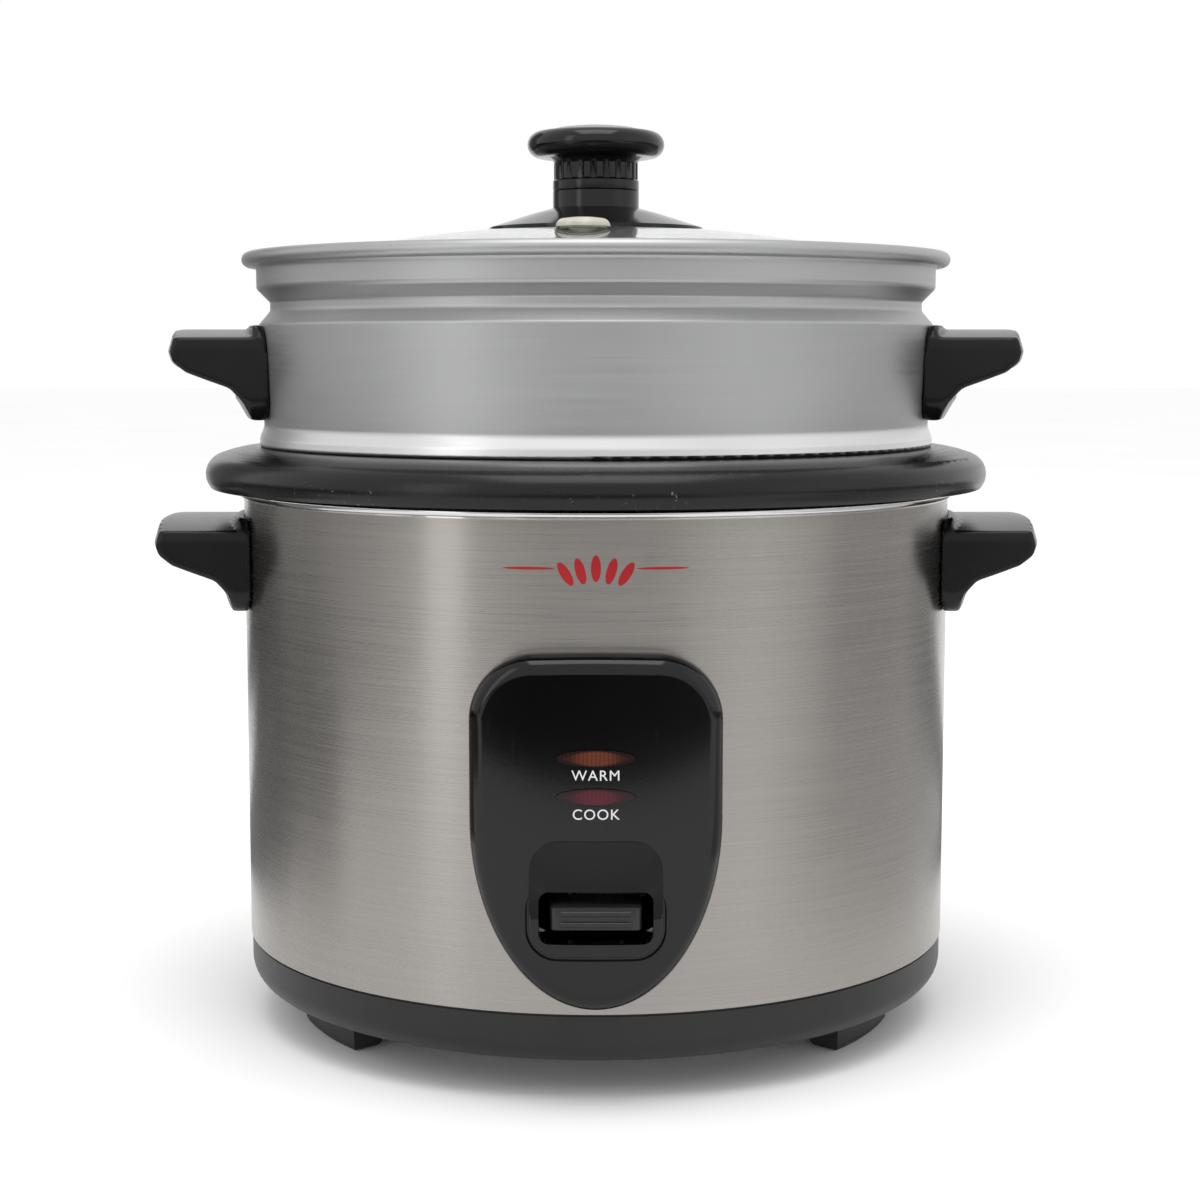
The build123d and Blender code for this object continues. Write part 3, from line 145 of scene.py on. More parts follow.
def moulded(name, colour, pale, roughness, grain, depth, spread=0.10, gloss=0.5, worn_under=None):
    """Moulded plastic: a grain in its skin, a patchy sheen, and scuffs on what lies under worn_under."""
    material, wire = new_finish(name)
    skin = cloud(wire, grain, 2.0)
    patch = cloud(wire, 24.0)
    scratch = cloud(wire, 900.0, 2.0, (1.0, 1.0, 0.06)).ramp(0.66, 0.74)
    tone = patch.ramp(0.3, 0.7) * 0.6 + skin * 0.25
    scuff = scratch * 0.35
    if worn_under is not None:
        z = place_of(wire)[2]
        near_foot = 1 - z.ramp(worn_under - 1.5 * MM, worn_under)
        scuff = scuff + near_foot * cloud(wire, 420.0).ramp(0.42, 0.62)
    shader = wire.node(
        "ShaderNodeBsdfPrincipled",
        None,
        {
            "Base Color": (tone + scuff * 0.3).blend(colour, pale),
            "Roughness": (patch - 0.5) * spread + scuff * 0.12 + roughness,
            "Normal": bumped(wire, skin - scratch * 0.2, depth),
            "Specular IOR Level": gloss,
        },
    )
    close_finish(wire, shader)
    return material


def clad(material, *nodes):
    """Gives frame nodes their finish."""
    for node in nodes:
        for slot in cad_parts[node].material_slots:
            slot.material = material


base_plastic = moulded(
    "base_plastic", shade(0.010, 0.02), shade(0.019, 0.03), 0.40, 2600.0, 0.00005, gloss=0.30
)
clad(base_plastic, "base_ring")
foot_plastic = moulded(
    "foot_plastic", shade(0.012), shade(0.035, 0.05), 0.50, 2200.0, 0.00008, gloss=0.35, worn_under=1.5 * MM
)
clad(foot_plastic, "foot_front_left", "foot_front_right", "foot_rear")

# ---------------------------------------------------------------- bottom cover and fasteners
# The cover that closes the base is pressed from thin zinc-plated sheet, with vents punched through it.
# The screws, posts, pins and rivets are plain zinc-plated steel with a faint blue cast.
tarnish = (0.30, 0.24, 0.18, 1.0)


def plated(name, colour, pale, roughness, scale, metallic=1.0):
    """Small metal parts: mottled plating with dull spots and fine scratches."""
    material, wire = new_finish(name)
    mottle = cloud(wire, scale)
    spots = cloud(wire, scale * 4.0, 4.0).ramp(0.60, 0.72)
    scratch = cloud(wire, 1400.0, 2.0, (1.0, 0.08, 1.0)).ramp(0.60, 0.70)
    clean = mottle.ramp(0.3, 0.7).blend(colour, pale)
    shader = wire.node(
        "ShaderNodeBsdfPrincipled",
        None,
        {
            "Base Color": (spots * 0.35).blend(clean, tarnish),
            "Metallic": metallic,
            "Roughness": (mottle - 0.5) * 0.22 + spots * 0.18 + scratch * 0.08 + roughness,
            "Normal": bumped(wire, mottle * 0.5 + scratch, 0.00003),
        },
    )
    close_finish(wire, shader)
    return material


sheet_steel = plated("sheet_steel", shade(0.42, -0.02), shade(0.58), 0.38, 160.0)
zinc_steel = plated("zinc_steel", shade(0.48, -0.03), shade(0.66), 0.30, 340.0)
clad(sheet_steel, "bottom_cover", "lever_bracket")
clad(zinc_steel, "foot_screws", "cover_screws", "support_posts", "post_screws", "plate_screws")
clad(zinc_steel, "plate_spacers", "panel_screws", "board_screws", "inlet_screws", "body_handle_screws")

# ---------------------------------------------------------------- well liner and its heater band
# The liner is a spun steel cup that the pot stands in, left with the fine rings of its spinning. A band of
# mica sheet with a woven resistance ribbon is clamped round it to keep the rice warm.


def turned_grain(wire, lines, drift):
    """Fine lines round the axis, so many to the metre, that wander slowly along their length."""
    x, y, z = place_of(wire)
    radius = (x * x + y * y) ** 0.5
    along = wire.node("ShaderNodeCombineXYZ", None, {"X": radius * lines, "Y": z * lines, "Z": x * drift})
    return wire.node(
        "ShaderNodeTexNoise",
        {"noise_dimensions": "4D"},
        {"Vector": along, "W": y * drift, "Scale": 1.0, "Detail": 2.0},
    )


def turned_metal(name, dark, light, roughness, lines, drift, anisotropy, depth=0.00002, patch=0.10):
    """Spun, turned or brushed metal, whose lines run round the axis."""
    material, wire = new_finish(name)
    fine = turned_grain(wire, lines, drift)
    broad = turned_grain(wire, lines * 0.12, drift * 0.5)
    smudge = cloud(wire, 14.0)
    shader = wire.node(
        "ShaderNodeBsdfPrincipled",
        None,
        {
            "Base Color": (fine * 0.7 + broad * 0.3).ramp(0.25, 0.75).blend(dark, light),
            "Metallic": 1.0,
            "Roughness": (fine - 0.5) * 0.30 + (smudge - 0.5) * patch + roughness,
            "Normal": bumped(wire, fine + broad * 0.6, depth),
            "Anisotropic": anisotropy,
            "Anisotropic Rotation": 0.25,
        },
    )
    close_finish(wire, shader)
    return material


liner_steel = turned_metal("liner_steel", shade(0.40, 0.02), shade(0.58, 0.02), 0.34, 1600.0, 14.0, 0.4)
clad(liner_steel, "well_liner", "sensor_sleeve")
heater_mica = plated("heater_mica", (0.42, 0.33, 0.20, 1), (0.62, 0.52, 0.36, 1), 0.35, 90.0, 0.0)
clad(heater_mica, "keep_warm_heater")

# ---------------------------------------------------------------- heating plate and element
# The plate is cast aluminium, faced on a lathe so that its top shows fine rings, with a tubular steel
# element cast into its underside. It stands on turned spacers, and ceramic bushings lead the element out.
cast_plate = turned_metal("cast_plate", shade(0.38), shade(0.62), 0.36, 1100.0, 10.0, 0.3, 0.00005, 0.2)
clad(cast_plate, "heating_plate", "sensor_cap")
element_steel = plated("element_steel", (0.16, 0.14, 0.12, 1), (0.30, 0.26, 0.22, 1), 0.42, 220.0)
clad(element_steel, "heating_element")
ceramic = moulded("ceramic", shade(0.62, 0.06), shade(0.78, 0.05), 0.40, 1500.0, 0.00004)
clad(ceramic, "element_bushings")

# ---------------------------------------------------------------- thermostat
# The magnetic thermostat is a dark ferrite puck in the sensor cap, held up by a coil spring of bright
# drawn wire. A ring magnet of the same ferrite on a rod pulls it closed when the lever is pressed.
ferrite = moulded("ferrite", shade(0.03), shade(0.07, 0.03), 0.55, 1800.0, 0.00012)
clad(ferrite, "sensor_ferrite", "magnet")
spring_steel = plated("spring_steel", shade(0.40, 0.02), shade(0.62, 0.02), 0.24, 700.0)
clad(spring_steel, "sensor_spring")

# ---------------------------------------------------------------- switch works
# The lever is bent from plated steel strip and turns on a pin in a bracket. It closes a small switch
# with a moulded case and a brass plunger.
clad(zinc_steel, "lever_arm", "lever_pin", "magnet_rod")
case_plastic = moulded("case_plastic", shade(0.05, 0.1), shade(0.09, 0.1), 0.42, 1900.0, 0.00006)
clad(case_plastic, "micro_switch")
brass = plated("brass", (0.56, 0.38, 0.14, 1), (0.76, 0.58, 0.28, 1), 0.28, 420.0)
clad(brass, "switch_plunger", "inlet_pins")

# ---------------------------------------------------------------- drum
# The drum is stainless sheet rolled into a cylinder and brushed round and round, so that light stands on
# it in tall soft bands. Its top edge is curled out into a bead, and the bead is polished.
bead_low = 174.2 * MM
drum_steel, wire = new_finish("drum_steel")
fine = turned_grain(wire, 3600.0, 26.0)
broad = turned_grain(wire, 700.0, 12.0)
smudge = cloud(wire, 11.0)
print_marks = cloud(wire, 65.0, 4.0).ramp(0.58, 0.75)
bead = place_of(wire)[2].ramp(bead_low - 0.4 * MM, bead_low)
body_colour = (fine * 0.8 + broad * 0.2).ramp(0.15, 0.85).blend(shade(0.275, 0.06), shade(0.325, 0.06))
satin = (fine - 0.5) * 0.14 + (smudge - 0.5) * 0.08 + print_marks * 0.03 + 0.18
drum_shader = wire.node(
    "ShaderNodeBsdfPrincipled",
    None,
    {
        "Base Color": bead.blend(body_colour, shade(0.62, 0.01)),
        "Metallic": 1.0,
        "Roughness": (1 - bead) * satin + 0.10,
        "Normal": bumped(wire, (1 - bead) * (fine + broad * 0.2), 0.000006),
        "Anisotropic": 0.75,
        "Anisotropic Rotation": 0.25,
    },
)
close_finish(wire, drum_shader)
clad(drum_steel, "body_shell")
seam_merge = 0.002 * MM


def arc(centre, radius, start, end, steps):
    """Points of a circular arc in the section, from start to end in degrees, anticlockwise positive."""
    for step in range(steps + 1):
        angle = math.radians(start + (end - start) * step / steps)
        yield (centre[0] + radius * math.cos(angle), centre[1] + radius * math.sin(angle))


def spun(name, outline, sides):
    """A turned piece: a ring drawn out along a closed outline of (radius, height) points."""
    bpy.ops.object.select_all(action="DESELECT")
    bpy.ops.mesh.primitive_circle_add(
        vertices=sides, radius=outline[0][0], fill_type="NOTHING", location=(0, 0, outline[0][1])
    )
    piece = bpy.context.object
    piece.name = name
    bpy.ops.object.transform_apply(location=True, rotation=False, scale=False)
    bpy.ops.object.mode_set(mode="EDIT")
    bpy.ops.mesh.select_all(action="SELECT")
    for (was_radius, was_height), (radius, height) in zip(outline, outline[1:] + outline[:1]):
        bpy.ops.mesh.extrude_edges_move(
            TRANSFORM_OT_translate={"value": (0, 0, height - was_height), "orient_type": "GLOBAL"}
        )
        scale = radius / was_radius
        bpy.ops.transform.resize(value=(scale, scale, 1), center_override=(0, 0, height))
    bpy.ops.mesh.select_all(action="SELECT")
    bpy.ops.mesh.remove_doubles(threshold=seam_merge)
    bpy.ops.mesh.normals_make_consistent(inside=False)
    bpy.ops.object.mode_set(mode="OBJECT")
    return piece


def place_piece(piece, body, slot, material, *nodes):
    """Puts a finished piece on its body, in its finish, in place of the frame nodes it stands for."""
    piece.data.materials.clear()
    piece.data.materials.append(material)
    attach(piece, body)
    if nodes:
        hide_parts(*nodes)


drum_low, drum_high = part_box("body_shell")
bead_radius = 1.42 * MM
bead_skin = 0.04 * MM
ring_sides = 320
bead_steps = 16
bead_centre = (drum_high[0] - bead_radius + bead_skin, drum_high[2] - bead_radius + bead_skin)
bead_outline = arc(bead_centre, bead_radius, 0, 360 - 360 / bead_steps, bead_steps - 1)
bead_piece = spun("drum_bead_piece", list(bead_outline), ring_sides)
bpy.ops.object.shade_smooth()
bead_polish = turned_metal(
    "bead_polish", shade(0.58, 0.01), shade(0.66, 0.01), 0.14, 2400.0, 30.0, 0.0, 0.000004, 0.04
)
place_piece(bead_piece, "cooker_body", "drum_steel", bead_polish)

# A small mark is printed in red on the drum, above the panel: five rice grains between two fine lines.
mark_height = 160.0 * MM
grain_half_width = 1.45 * MM
grain_half_height = 3.9 * MM
line_half_length = 7.6 * MM
line_half_height = 0.42 * MM
line_offset = 19.4 * MM
print_start = 6 * MM
ink_thickness = 0.06 * MM
grain_leans = ((-32, -8.8 * MM), (-16, -4.5 * MM), (0, 0.0), (16, 4.5 * MM), (32, 8.8 * MM))
lean_drop = 0.05 * MM


def printed(piece, name, surface, material, slot):
    """Lays a flat piece on a surface behind it as a thin film of ink."""
    wrap = piece.modifiers.new("on_face", "SHRINKWRAP")
    wrap.target = surface
    wrap.wrap_method = "PROJECT"
    wrap.use_project_y = True
    wrap.use_positive_direction = True
    wrap.use_negative_direction = False
    bpy.ops.object.modifier_apply(modifier="on_face")
    ink = piece.modifiers.new("ink", "SOLIDIFY")
    ink.thickness = ink_thickness
    ink.offset = 0.0
    bpy.ops.object.modifier_apply(modifier="ink")
    piece.name = name
    place_piece(piece, "cooker_body", slot, material)


def print_stroke(half_width, half_height, turn, offset):
    """A flat oval stroke in front of the drum, fine enough to lie close on its curve."""
    bpy.ops.object.select_all(action="DESELECT")
    bpy.ops.mesh.primitive_circle_add(vertices=48, radius=1.0, fill_type="TRIFAN")
    stroke = bpy.context.object
    stroke.scale = (half_width, half_height, 1)
    bpy.ops.object.transform_apply(location=False, rotation=False, scale=True)
    bpy.ops.object.mode_set(mode="EDIT")
    bpy.ops.mesh.select_all(action="SELECT")
    bpy.ops.mesh.subdivide(number_cuts=3)
    bpy.ops.object.mode_set(mode="OBJECT")
    stroke.rotation_euler = (math.radians(90), math.radians(turn), 0)
    stroke.location = (offset, drum_low[1] - print_start, mark_height - abs(turn) * lean_drop)
    bpy.ops.object.transform_apply(location=True, rotation=True, scale=False)
    return stroke


strokes = [print_stroke(grain_half_width, grain_half_height, *lean) for lean in grain_leans]
for side in (-1, 1):
    strokes.append(print_stroke(line_half_length, line_half_height, 0, side * line_offset))
for stroke in strokes:
    stroke.select_set(True)
mark = strokes[2]
bpy.context.view_layer.objects.active = mark
bpy.ops.object.join()
red_ink = moulded(
    "red_ink", (0.30, 0.008, 0.012, 1), (0.36, 0.015, 0.02, 1), 0.5, 2800.0, 0.00001, gloss=0.2
)
printed(mark, "grain_mark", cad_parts["body_shell"], red_ink, "lens_red")

# ---------------------------------------------------------------- control panel
# The panel is a gloss black moulding with a hooded switch surround in its lower half, screwed on from
# inside the drum. It carries two oval lamp lenses with their words printed in white under them.


def merged_copy(node, name):
    """A node's own shape as a mesh whose faces are joined up, so that it can be worked on."""
    bpy.ops.object.select_all(action="DESELECT")
    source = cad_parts[node]
    piece = bpy.data.objects.new(name, source.data.copy())
    bpy.context.scene.collection.objects.link(piece)
    bpy.context.view_layer.objects.active = piece
    piece.select_set(True)
    if piece.data.has_custom_normals:
        bpy.ops.mesh.customdata_custom_splitnormals_clear()
    bpy.ops.object.mode_set(mode="EDIT")
    bpy.ops.mesh.select_all(action="SELECT")
    bpy.ops.mesh.remove_doubles(threshold=0.01 * MM)
    bpy.ops.mesh.dissolve_limited(angle_limit=math.radians(0.6))
    bpy.ops.object.mode_set(mode="OBJECT")
    return piece


panel_gloss = moulded(
    "panel_gloss", shade(0.0012), shade(0.0026), 0.11, 900.0, 0.000004, spread=0.05, gloss=0.35
)
clad(panel_gloss, "control_panel")


def clad_lens(node, name, edge, lit_centre_colour):
    """Makes a node a tinted lens with prisms behind it: painted light lightens its middle and painted shade
    darkens its rim.
    """
    low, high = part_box(node)
    half_wide, half_tall = (high[0] - low[0]) / 2, (high[2] - low[2]) / 2
    material, wire = new_finish(name)
    x, _, z = place_of(wire)
    across = x * (1 / half_wide)
    up = wire.maths("ABSOLUTE", (z - (low[2] + high[2]) / 2) * (1 / half_tall))
    # The colour is darkened towards the rim as painted shade and lightened across the middle as painted
    # light.
    inside = 1 - (across * across + up).ramp(0.50, 0.72)
    painted_centre_light = 1 - (across * across).ramp(0.0, 0.42)
    prisms = wire.node(
        "ShaderNodeTexWave",
        {"bands_direction": "X"},
        {"Vector": wire.node("ShaderNodeTexCoord", output="Object"), "Scale": 260.0, "Distortion": 0.4},
    )
    colour = (inside * (painted_centre_light * 0.8 + 0.2) * (prisms * 0.3 + 0.7)).blend(edge, lit_centre_colour)
    shader = wire.node(
        "ShaderNodeBsdfPrincipled",
        None,
        {
            "Base Color": colour,
            "Roughness": (prisms - 0.5) * 0.06 + 0.16,
            "Normal": bumped(wire, prisms, 0.00002),
            "Specular IOR Level": 0.25,
            "Coat Weight": 0.15,
            "Coat Roughness": 0.04,
        },
    )
    close_finish(wire, shader)
    clad(material, node)


# The first colour of each lens is its rim's painted shade, the second its middle's painted light.
clad_lens("lens_warm", "lens_amber", (0.012, 0.004, 0.004, 1), (0.115, 0.030, 0.014, 1))
clad_lens("lens_cook", "lens_red", (0.012, 0.003, 0.004, 1), (0.080, 0.006, 0.014, 1))

white_ink = moulded("white_ink", shade(0.62), shade(0.74), 0.45, 3000.0, 0.00001)
label_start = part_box("control_panel")[0][1] - 2.0 * MM
label_size = 4.3 * MM
warm_height = 99.7 * MM
cook_height = 88.3 * MM


def label(word, height):
    """A word printed on the panel's curved face with its foot at height."""
    bpy.ops.object.select_all(action="DESELECT")
    bpy.ops.object.text_add(location=(0, 0, 0))
    made = bpy.context.object
    made.data.body = word
    made.data.size = label_size
    made.data.align_x = "CENTER"
    made.data.space_character = 1.12
    bpy.ops.object.convert(target="MESH")
    made.rotation_euler = (math.radians(90), 0, 0)
    made.location = (0, label_start, height)
    bpy.ops.object.transform_apply(location=True, rotation=True, scale=True)
    printed(made, "label_" + word.lower(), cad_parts["control_panel"], white_ink, "panel_plastic")


label("WARM", warm_height)
label("COOK", cook_height)

# The lever's tip is a satin moulding whose edges are eased all round.
lever_easing = 0.5 * MM
lever_plastic = moulded("lever_plastic", shade(0.008), shade(0.018, 0.02), 0.28, 1500.0, 0.00003, gloss=0.4)
lever_piece = merged_copy("lever_button", "lever_button_piece")
eased = lever_piece.modifiers.new("eased", "BEVEL")
eased.width = lever_easing
eased.segments = 3
eased.limit_method = "ANGLE"
eased.angle_limit = math.radians(28)
eased.use_clamp_overlap = True
bpy.ops.object.modifier_apply(modifier="eased")
bpy.ops.object.shade_smooth_by_angle(angle=math.radians(32))
place_piece(lever_piece, "switch_lever", "lever_plastic", lever_plastic, "lever_button")

# The lamp board behind the lenses is green glass-fibre board with two small neon lamps in clear glass.
board_green = moulded("board_green", (0.02, 0.12, 0.05, 1), (0.04, 0.20, 0.08, 1), 0.32, 1300.0, 0.00003)
clad(board_green, "lamp_board")
lamp_glass = moulded("lamp_glass", (0.50, 0.36, 0.26, 1), (0.70, 0.52, 0.40, 1), 0.10, 800.0, 0.00001)
clad(lamp_glass, "lamp_warm", "lamp_cook")

# ---------------------------------------------------------------- body handles and inlet
# The two ledge handles are gloss black bakelite-like mouldings with a finger pocket underneath, screwed
# through the drum. The inlet at the back is the same material, with brass pins.
handle_plastic = moulded(
    "handle_plastic", shade(0.004), shade(0.008, 0.03), 0.26, 1700.0, 0.00001, gloss=0.22
)
handle_voxel = 0.75 * MM
handle_passes = 9


def mirrored(piece, name):
    """A copy of a piece on the other side of the cooker, its faces turned back to point outwards."""
    bpy.ops.object.select_all(action="DESELECT")
    copy = bpy.data.objects.new(name, piece.data.copy())
    bpy.context.scene.collection.objects.link(copy)
    bpy.context.view_layer.objects.active = copy
    copy.select_set(True)
    copy.scale = (-1, 1, 1)
    bpy.ops.object.transform_apply(location=False, rotation=False, scale=True)
    bpy.ops.object.mode_set(mode="EDIT")
    bpy.ops.mesh.select_all(action="SELECT")
    bpy.ops.mesh.normals_make_consistent(inside=False)
    bpy.ops.object.mode_set(mode="OBJECT")
    bpy.ops.object.shade_smooth()
    return copy


def handle_pair(stem_name, body):
    """Both handles of a pair, on their body, with the rounded edges of a thick moulding."""
    left = merged_copy(stem_name + "_left", stem_name + "_left_piece")
    skin = left.modifiers.new("skin", "REMESH")
    skin.mode = "VOXEL"
    skin.voxel_size = handle_voxel
    bpy.ops.object.modifier_apply(modifier="skin")
    eased = left.modifiers.new("eased", "SMOOTH")
    eased.factor = 0.5
    eased.iterations = handle_passes
    bpy.ops.object.modifier_apply(modifier="eased")
    bpy.ops.object.shade_smooth()
    right = mirrored(left, stem_name + "_right_piece")
    place_piece(left, body, "handle_plastic", handle_plastic, stem_name + "_left")
    place_piece(right, body, "handle_plastic", handle_plastic, stem_name + "_right")


handle_pair("body_handle", "cooker_body")
clad(handle_plastic, "inlet_socket")

# ---------------------------------------------------------------- wiring
# The wires are stranded copper in heat-proof woven sleeve, and the fuse is a small tinned tube.
wire_sleeve = moulded("wire_sleeve", (0.55, 0.50, 0.42, 1), (0.72, 0.68, 0.60, 1), 0.60, 3200.0, 0.00015)
clad(wire_sleeve, "internal_wires")
clad(zinc_steel, "thermal_fuse")

# ---------------------------------------------------------------- inner pot
# The pot is spun from aluminium and lined with dark non-stick that runs over its wide rolled rim. Use has
# rubbed the rim's edge in small bright flecks, and the outside wall is left as plain satin aluminium.
rough_radius = 100.0 * MM
coating_edge = 172.0 * MM
rub_radius = 127.5 * MM
rub_height = 181.0 * MM
pot_coating, wire = new_finish("pot_coating")
x, y, z = place_of(wire)
radius = (x * x + y * y) ** 0.5
facing = wire.node("ShaderNodeSeparateXYZ", None, {0: wire.node("ShaderNodeNewGeometry", output="Normal")})
outward = (x * facing.out("X") + y * facing.out("Y")) * (1 / rough_radius) - facing.out("Z")
bare = outward.ramp(0.15, 0.25) * (1 - z.ramp(coating_edge, coating_edge + 2.0 * MM))
rings = turned_grain(wire, 1500.0, 10.0)
fleck = cloud(wire, 620.0, 5.0)
speckle = cloud(wire, 2600.0, 2.0).ramp(0.62, 0.72)
rubbed = radius.ramp(rub_radius, rub_radius + 2.5 * MM) * (1 - z.ramp(rub_height, rub_height + 3.0 * MM))
worn = rubbed * fleck.ramp(0.64, 0.70) * cloud(wire, 17.0).ramp(0.50, 0.62)
coating = (speckle * 0.5 + cloud(wire, 40.0) * 0.4).blend(shade(0.003, 0.04), shade(0.008, 0.06))
coating = (worn * 0.8).blend(coating, shade(0.45))
aluminium = rings.ramp(0.25, 0.75).blend(shade(0.56), shade(0.74))
pot_shader = wire.node(
    "ShaderNodeBsdfPrincipled",
    None,
    {
        "Base Color": bare.blend(coating, aluminium),
        "Metallic": wire.maths("MAXIMUM", bare, worn * 0.9),
        "Roughness": bare * 0.06 + (rings - 0.5) * 0.16 + speckle * 0.05 + 0.25,
        "Normal": bumped(wire, speckle * 0.5 + bare * rings, 0.00002),
        "Specular IOR Level": 0.30,
    },
)
close_finish(wire, pot_shader)
clad(pot_coating, "inner_pot")

# ---------------------------------------------------------------- steamer tray
# The tray is spun aluminium, anodised to a soft satin, with a beaded rim and a smoother bulged seat whose
# brightness is a painted highlight. Its floor is punched with steam holes, and two ledge handles like the
# body's are riveted on.
seat_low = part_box("inner_pot")[1][2]
seat_high = seat_low + 5.5 * MM
tray_aluminium, wire = new_finish("tray_aluminium")
z = place_of(wire)[2]
# The bulged seat gets a painted highlight in its colour, and a lower roughness.
painted_highlight_and_gloss_band = z.ramp(seat_low - 0.5 * MM, seat_low + 1.0 * MM) * (1 - z.ramp(seat_high, seat_high + 2.5 * MM))
fine = turned_grain(wire, 2600.0, 22.0)
stain = cloud(wire, 16.0)
wall = (fine * 0.5 + stain * 0.5).ramp(0.25, 0.75).blend(shade(0.40, -0.004), shade(0.46, -0.004))
tray_shader = wire.node(
    "ShaderNodeBsdfPrincipled",
    None,
    {
        "Base Color": painted_highlight_and_gloss_band.blend(wall, shade(0.68)),
        "Metallic": 1.0,
        "Roughness": (fine - 0.5) * 0.24 + (stain - 0.5) * 0.08 - painted_highlight_and_gloss_band * 0.12 + 0.46,
        "Normal": bumped(wire, fine, 0.000004),
    },
)
close_finish(wire, tray_shader)
clad(tray_aluminium, "steamer_tray")
tray_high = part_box("steamer_tray")[1]
rim_radius = 2.35 * MM
rim_skin = 0.03 * MM
rim_steps = 24
rim_centre = (tray_high[0] - rim_radius, tray_high[2] - rim_radius)
rim_outline = arc(rim_centre, rim_radius + rim_skin, 0, 360 - 360 / rim_steps, rim_steps - 1)
rim_piece = spun("tray_rim_piece", list(rim_outline), ring_sides)
bpy.ops.object.shade_smooth()
place_piece(rim_piece, "steamer", "tray_aluminium", tray_aluminium)
clad(zinc_steel, "tray_handle_rivets")
handle_pair("tray_handle", "steamer")

# ---------------------------------------------------------------- lid
# The lid is a dome of tempered glass in a rolled band of polished steel, with a bright steam vent and a
# gloss black knob whose stem is fluted for the fingers.
lid_glass, wire = new_finish("lid_glass")
film = cloud(wire, 40.0)
glass_shader = wire.node(
    "ShaderNodeBsdfPrincipled",
    None,
    {
        "Base Color": film.ramp(0.3, 0.7).blend((0.90, 0.94, 0.92, 1), (0.96, 0.98, 0.97, 1)),
        "Roughness": film * 0.03,
        "Transmission Weight": 0.95,
        "IOR": 1.48,
    },
)
close_finish(wire, glass_shader)
clad(lid_glass, "lid_glass")
lid_steel = turned_metal("lid_steel", shade(0.66), shade(0.80), 0.16, 1500.0, 8.0, 0.4, 0.000008, 0.06)
clad(lid_steel, "lid_band")
vent_metal = plated("vent_metal", (0.46, 0.45, 0.37, 1), (0.56, 0.55, 0.46, 1), 0.40, 260.0, 0.0)
clad(vent_metal, "vent_nut")
clad(zinc_steel, "knob_screw")
washer_silicone = moulded("washer_silicone", shade(0.30), shade(0.40), 0.6, 1200.0, 0.00004)
clad(washer_silicone, "knob_washer")

# The knob is turned in outline: a foot with a small collar, a stem, a rolled edge and a flat crown.
knob_low, knob_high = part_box("knob")
foot = knob_low[2]
stem = 14.0 * MM
head = knob_high[0]
crown = knob_high[2]
bore = 2.2 * MM
bore_top = foot + 13.0 * MM
collar = 0.4 * MM
collar_round = 0.6 * MM
roll = 4.3 * MM
roll_height = foot + 15.4 * MM
pole = 0.001 * MM
flute_low = foot + 3.8 * MM
flute_high = foot + 9.4 * MM
knob_outline = [(bore, bore_top), (bore, foot), (stem - 0.8 * MM, foot)]
knob_outline += arc((stem + collar - collar_round, foot + collar_round), collar_round, -90, 0, 4)
knob_outline += [(stem + collar, foot + 3.0 * MM), (stem + collar, flute_low - collar)]
knob_outline += [(stem, flute_low), (stem, flute_high)]
knob_outline += [(stem + 0.3 * MM, flute_high + 0.8 * MM), (stem + 1.6 * MM, flute_high + 1.6 * MM)]
knob_outline += arc((head - roll, roll_height), roll, -90, 74, 14)
knob_outline += [(head - 6.4 * MM, crown - 1.55 * MM), (head - 9.5 * MM, crown - 0.75 * MM)]
knob_outline += [(head - 13.0 * MM, crown - 0.25 * MM), (head - 17.0 * MM, crown - 0.03 * MM)]
knob_outline += [(0.2 * MM, crown), (pole, crown), (pole, bore_top)]
knob_sides = 160
knob_piece = spun("knob_piece", knob_outline, knob_sides)
flutes = 20
per_flute = knob_sides // flutes
flute_inset = 0.3 * MM
flute_depth = 0.5 * MM


def choose_faces(piece, wanted):
    """Leaves the piece in edit mode with only its wanted faces selected."""
    bpy.context.view_layer.objects.active = piece
    bpy.ops.object.mode_set(mode="EDIT")
    bpy.ops.mesh.select_mode(type="FACE")
    bpy.ops.mesh.select_all(action="DESELECT")
    bpy.ops.object.mode_set(mode="OBJECT")
    for face in piece.data.polygons:
        face.select = wanted(face.center)
    bpy.ops.object.mode_set(mode="EDIT")


def in_flute(centre):
    """Whether a face of the knob lies in one of the flutes round its stem."""
    turn = math.atan2(centre.y, centre.x) / (2 * math.pi) * knob_sides
    on_stem = flute_low < centre.z < flute_high and centre.xy.length > stem - flute_inset
    return on_stem and math.floor(turn) % per_flute < per_flute - 3


choose_faces(knob_piece, in_flute)
bpy.ops.mesh.inset(thickness=flute_inset, depth=-flute_depth)
bpy.ops.object.mode_set(mode="OBJECT")
bpy.ops.object.shade_smooth_by_angle(angle=math.radians(40))
knob_gloss = moulded(
    "knob_gloss", shade(0.004), shade(0.008), 0.13, 1100.0, 0.000006, spread=0.06, gloss=0.35
)
place_piece(knob_piece, "lid", "knob_plastic", knob_gloss, "knob")
clad(knob_gloss, "knob_skirt")

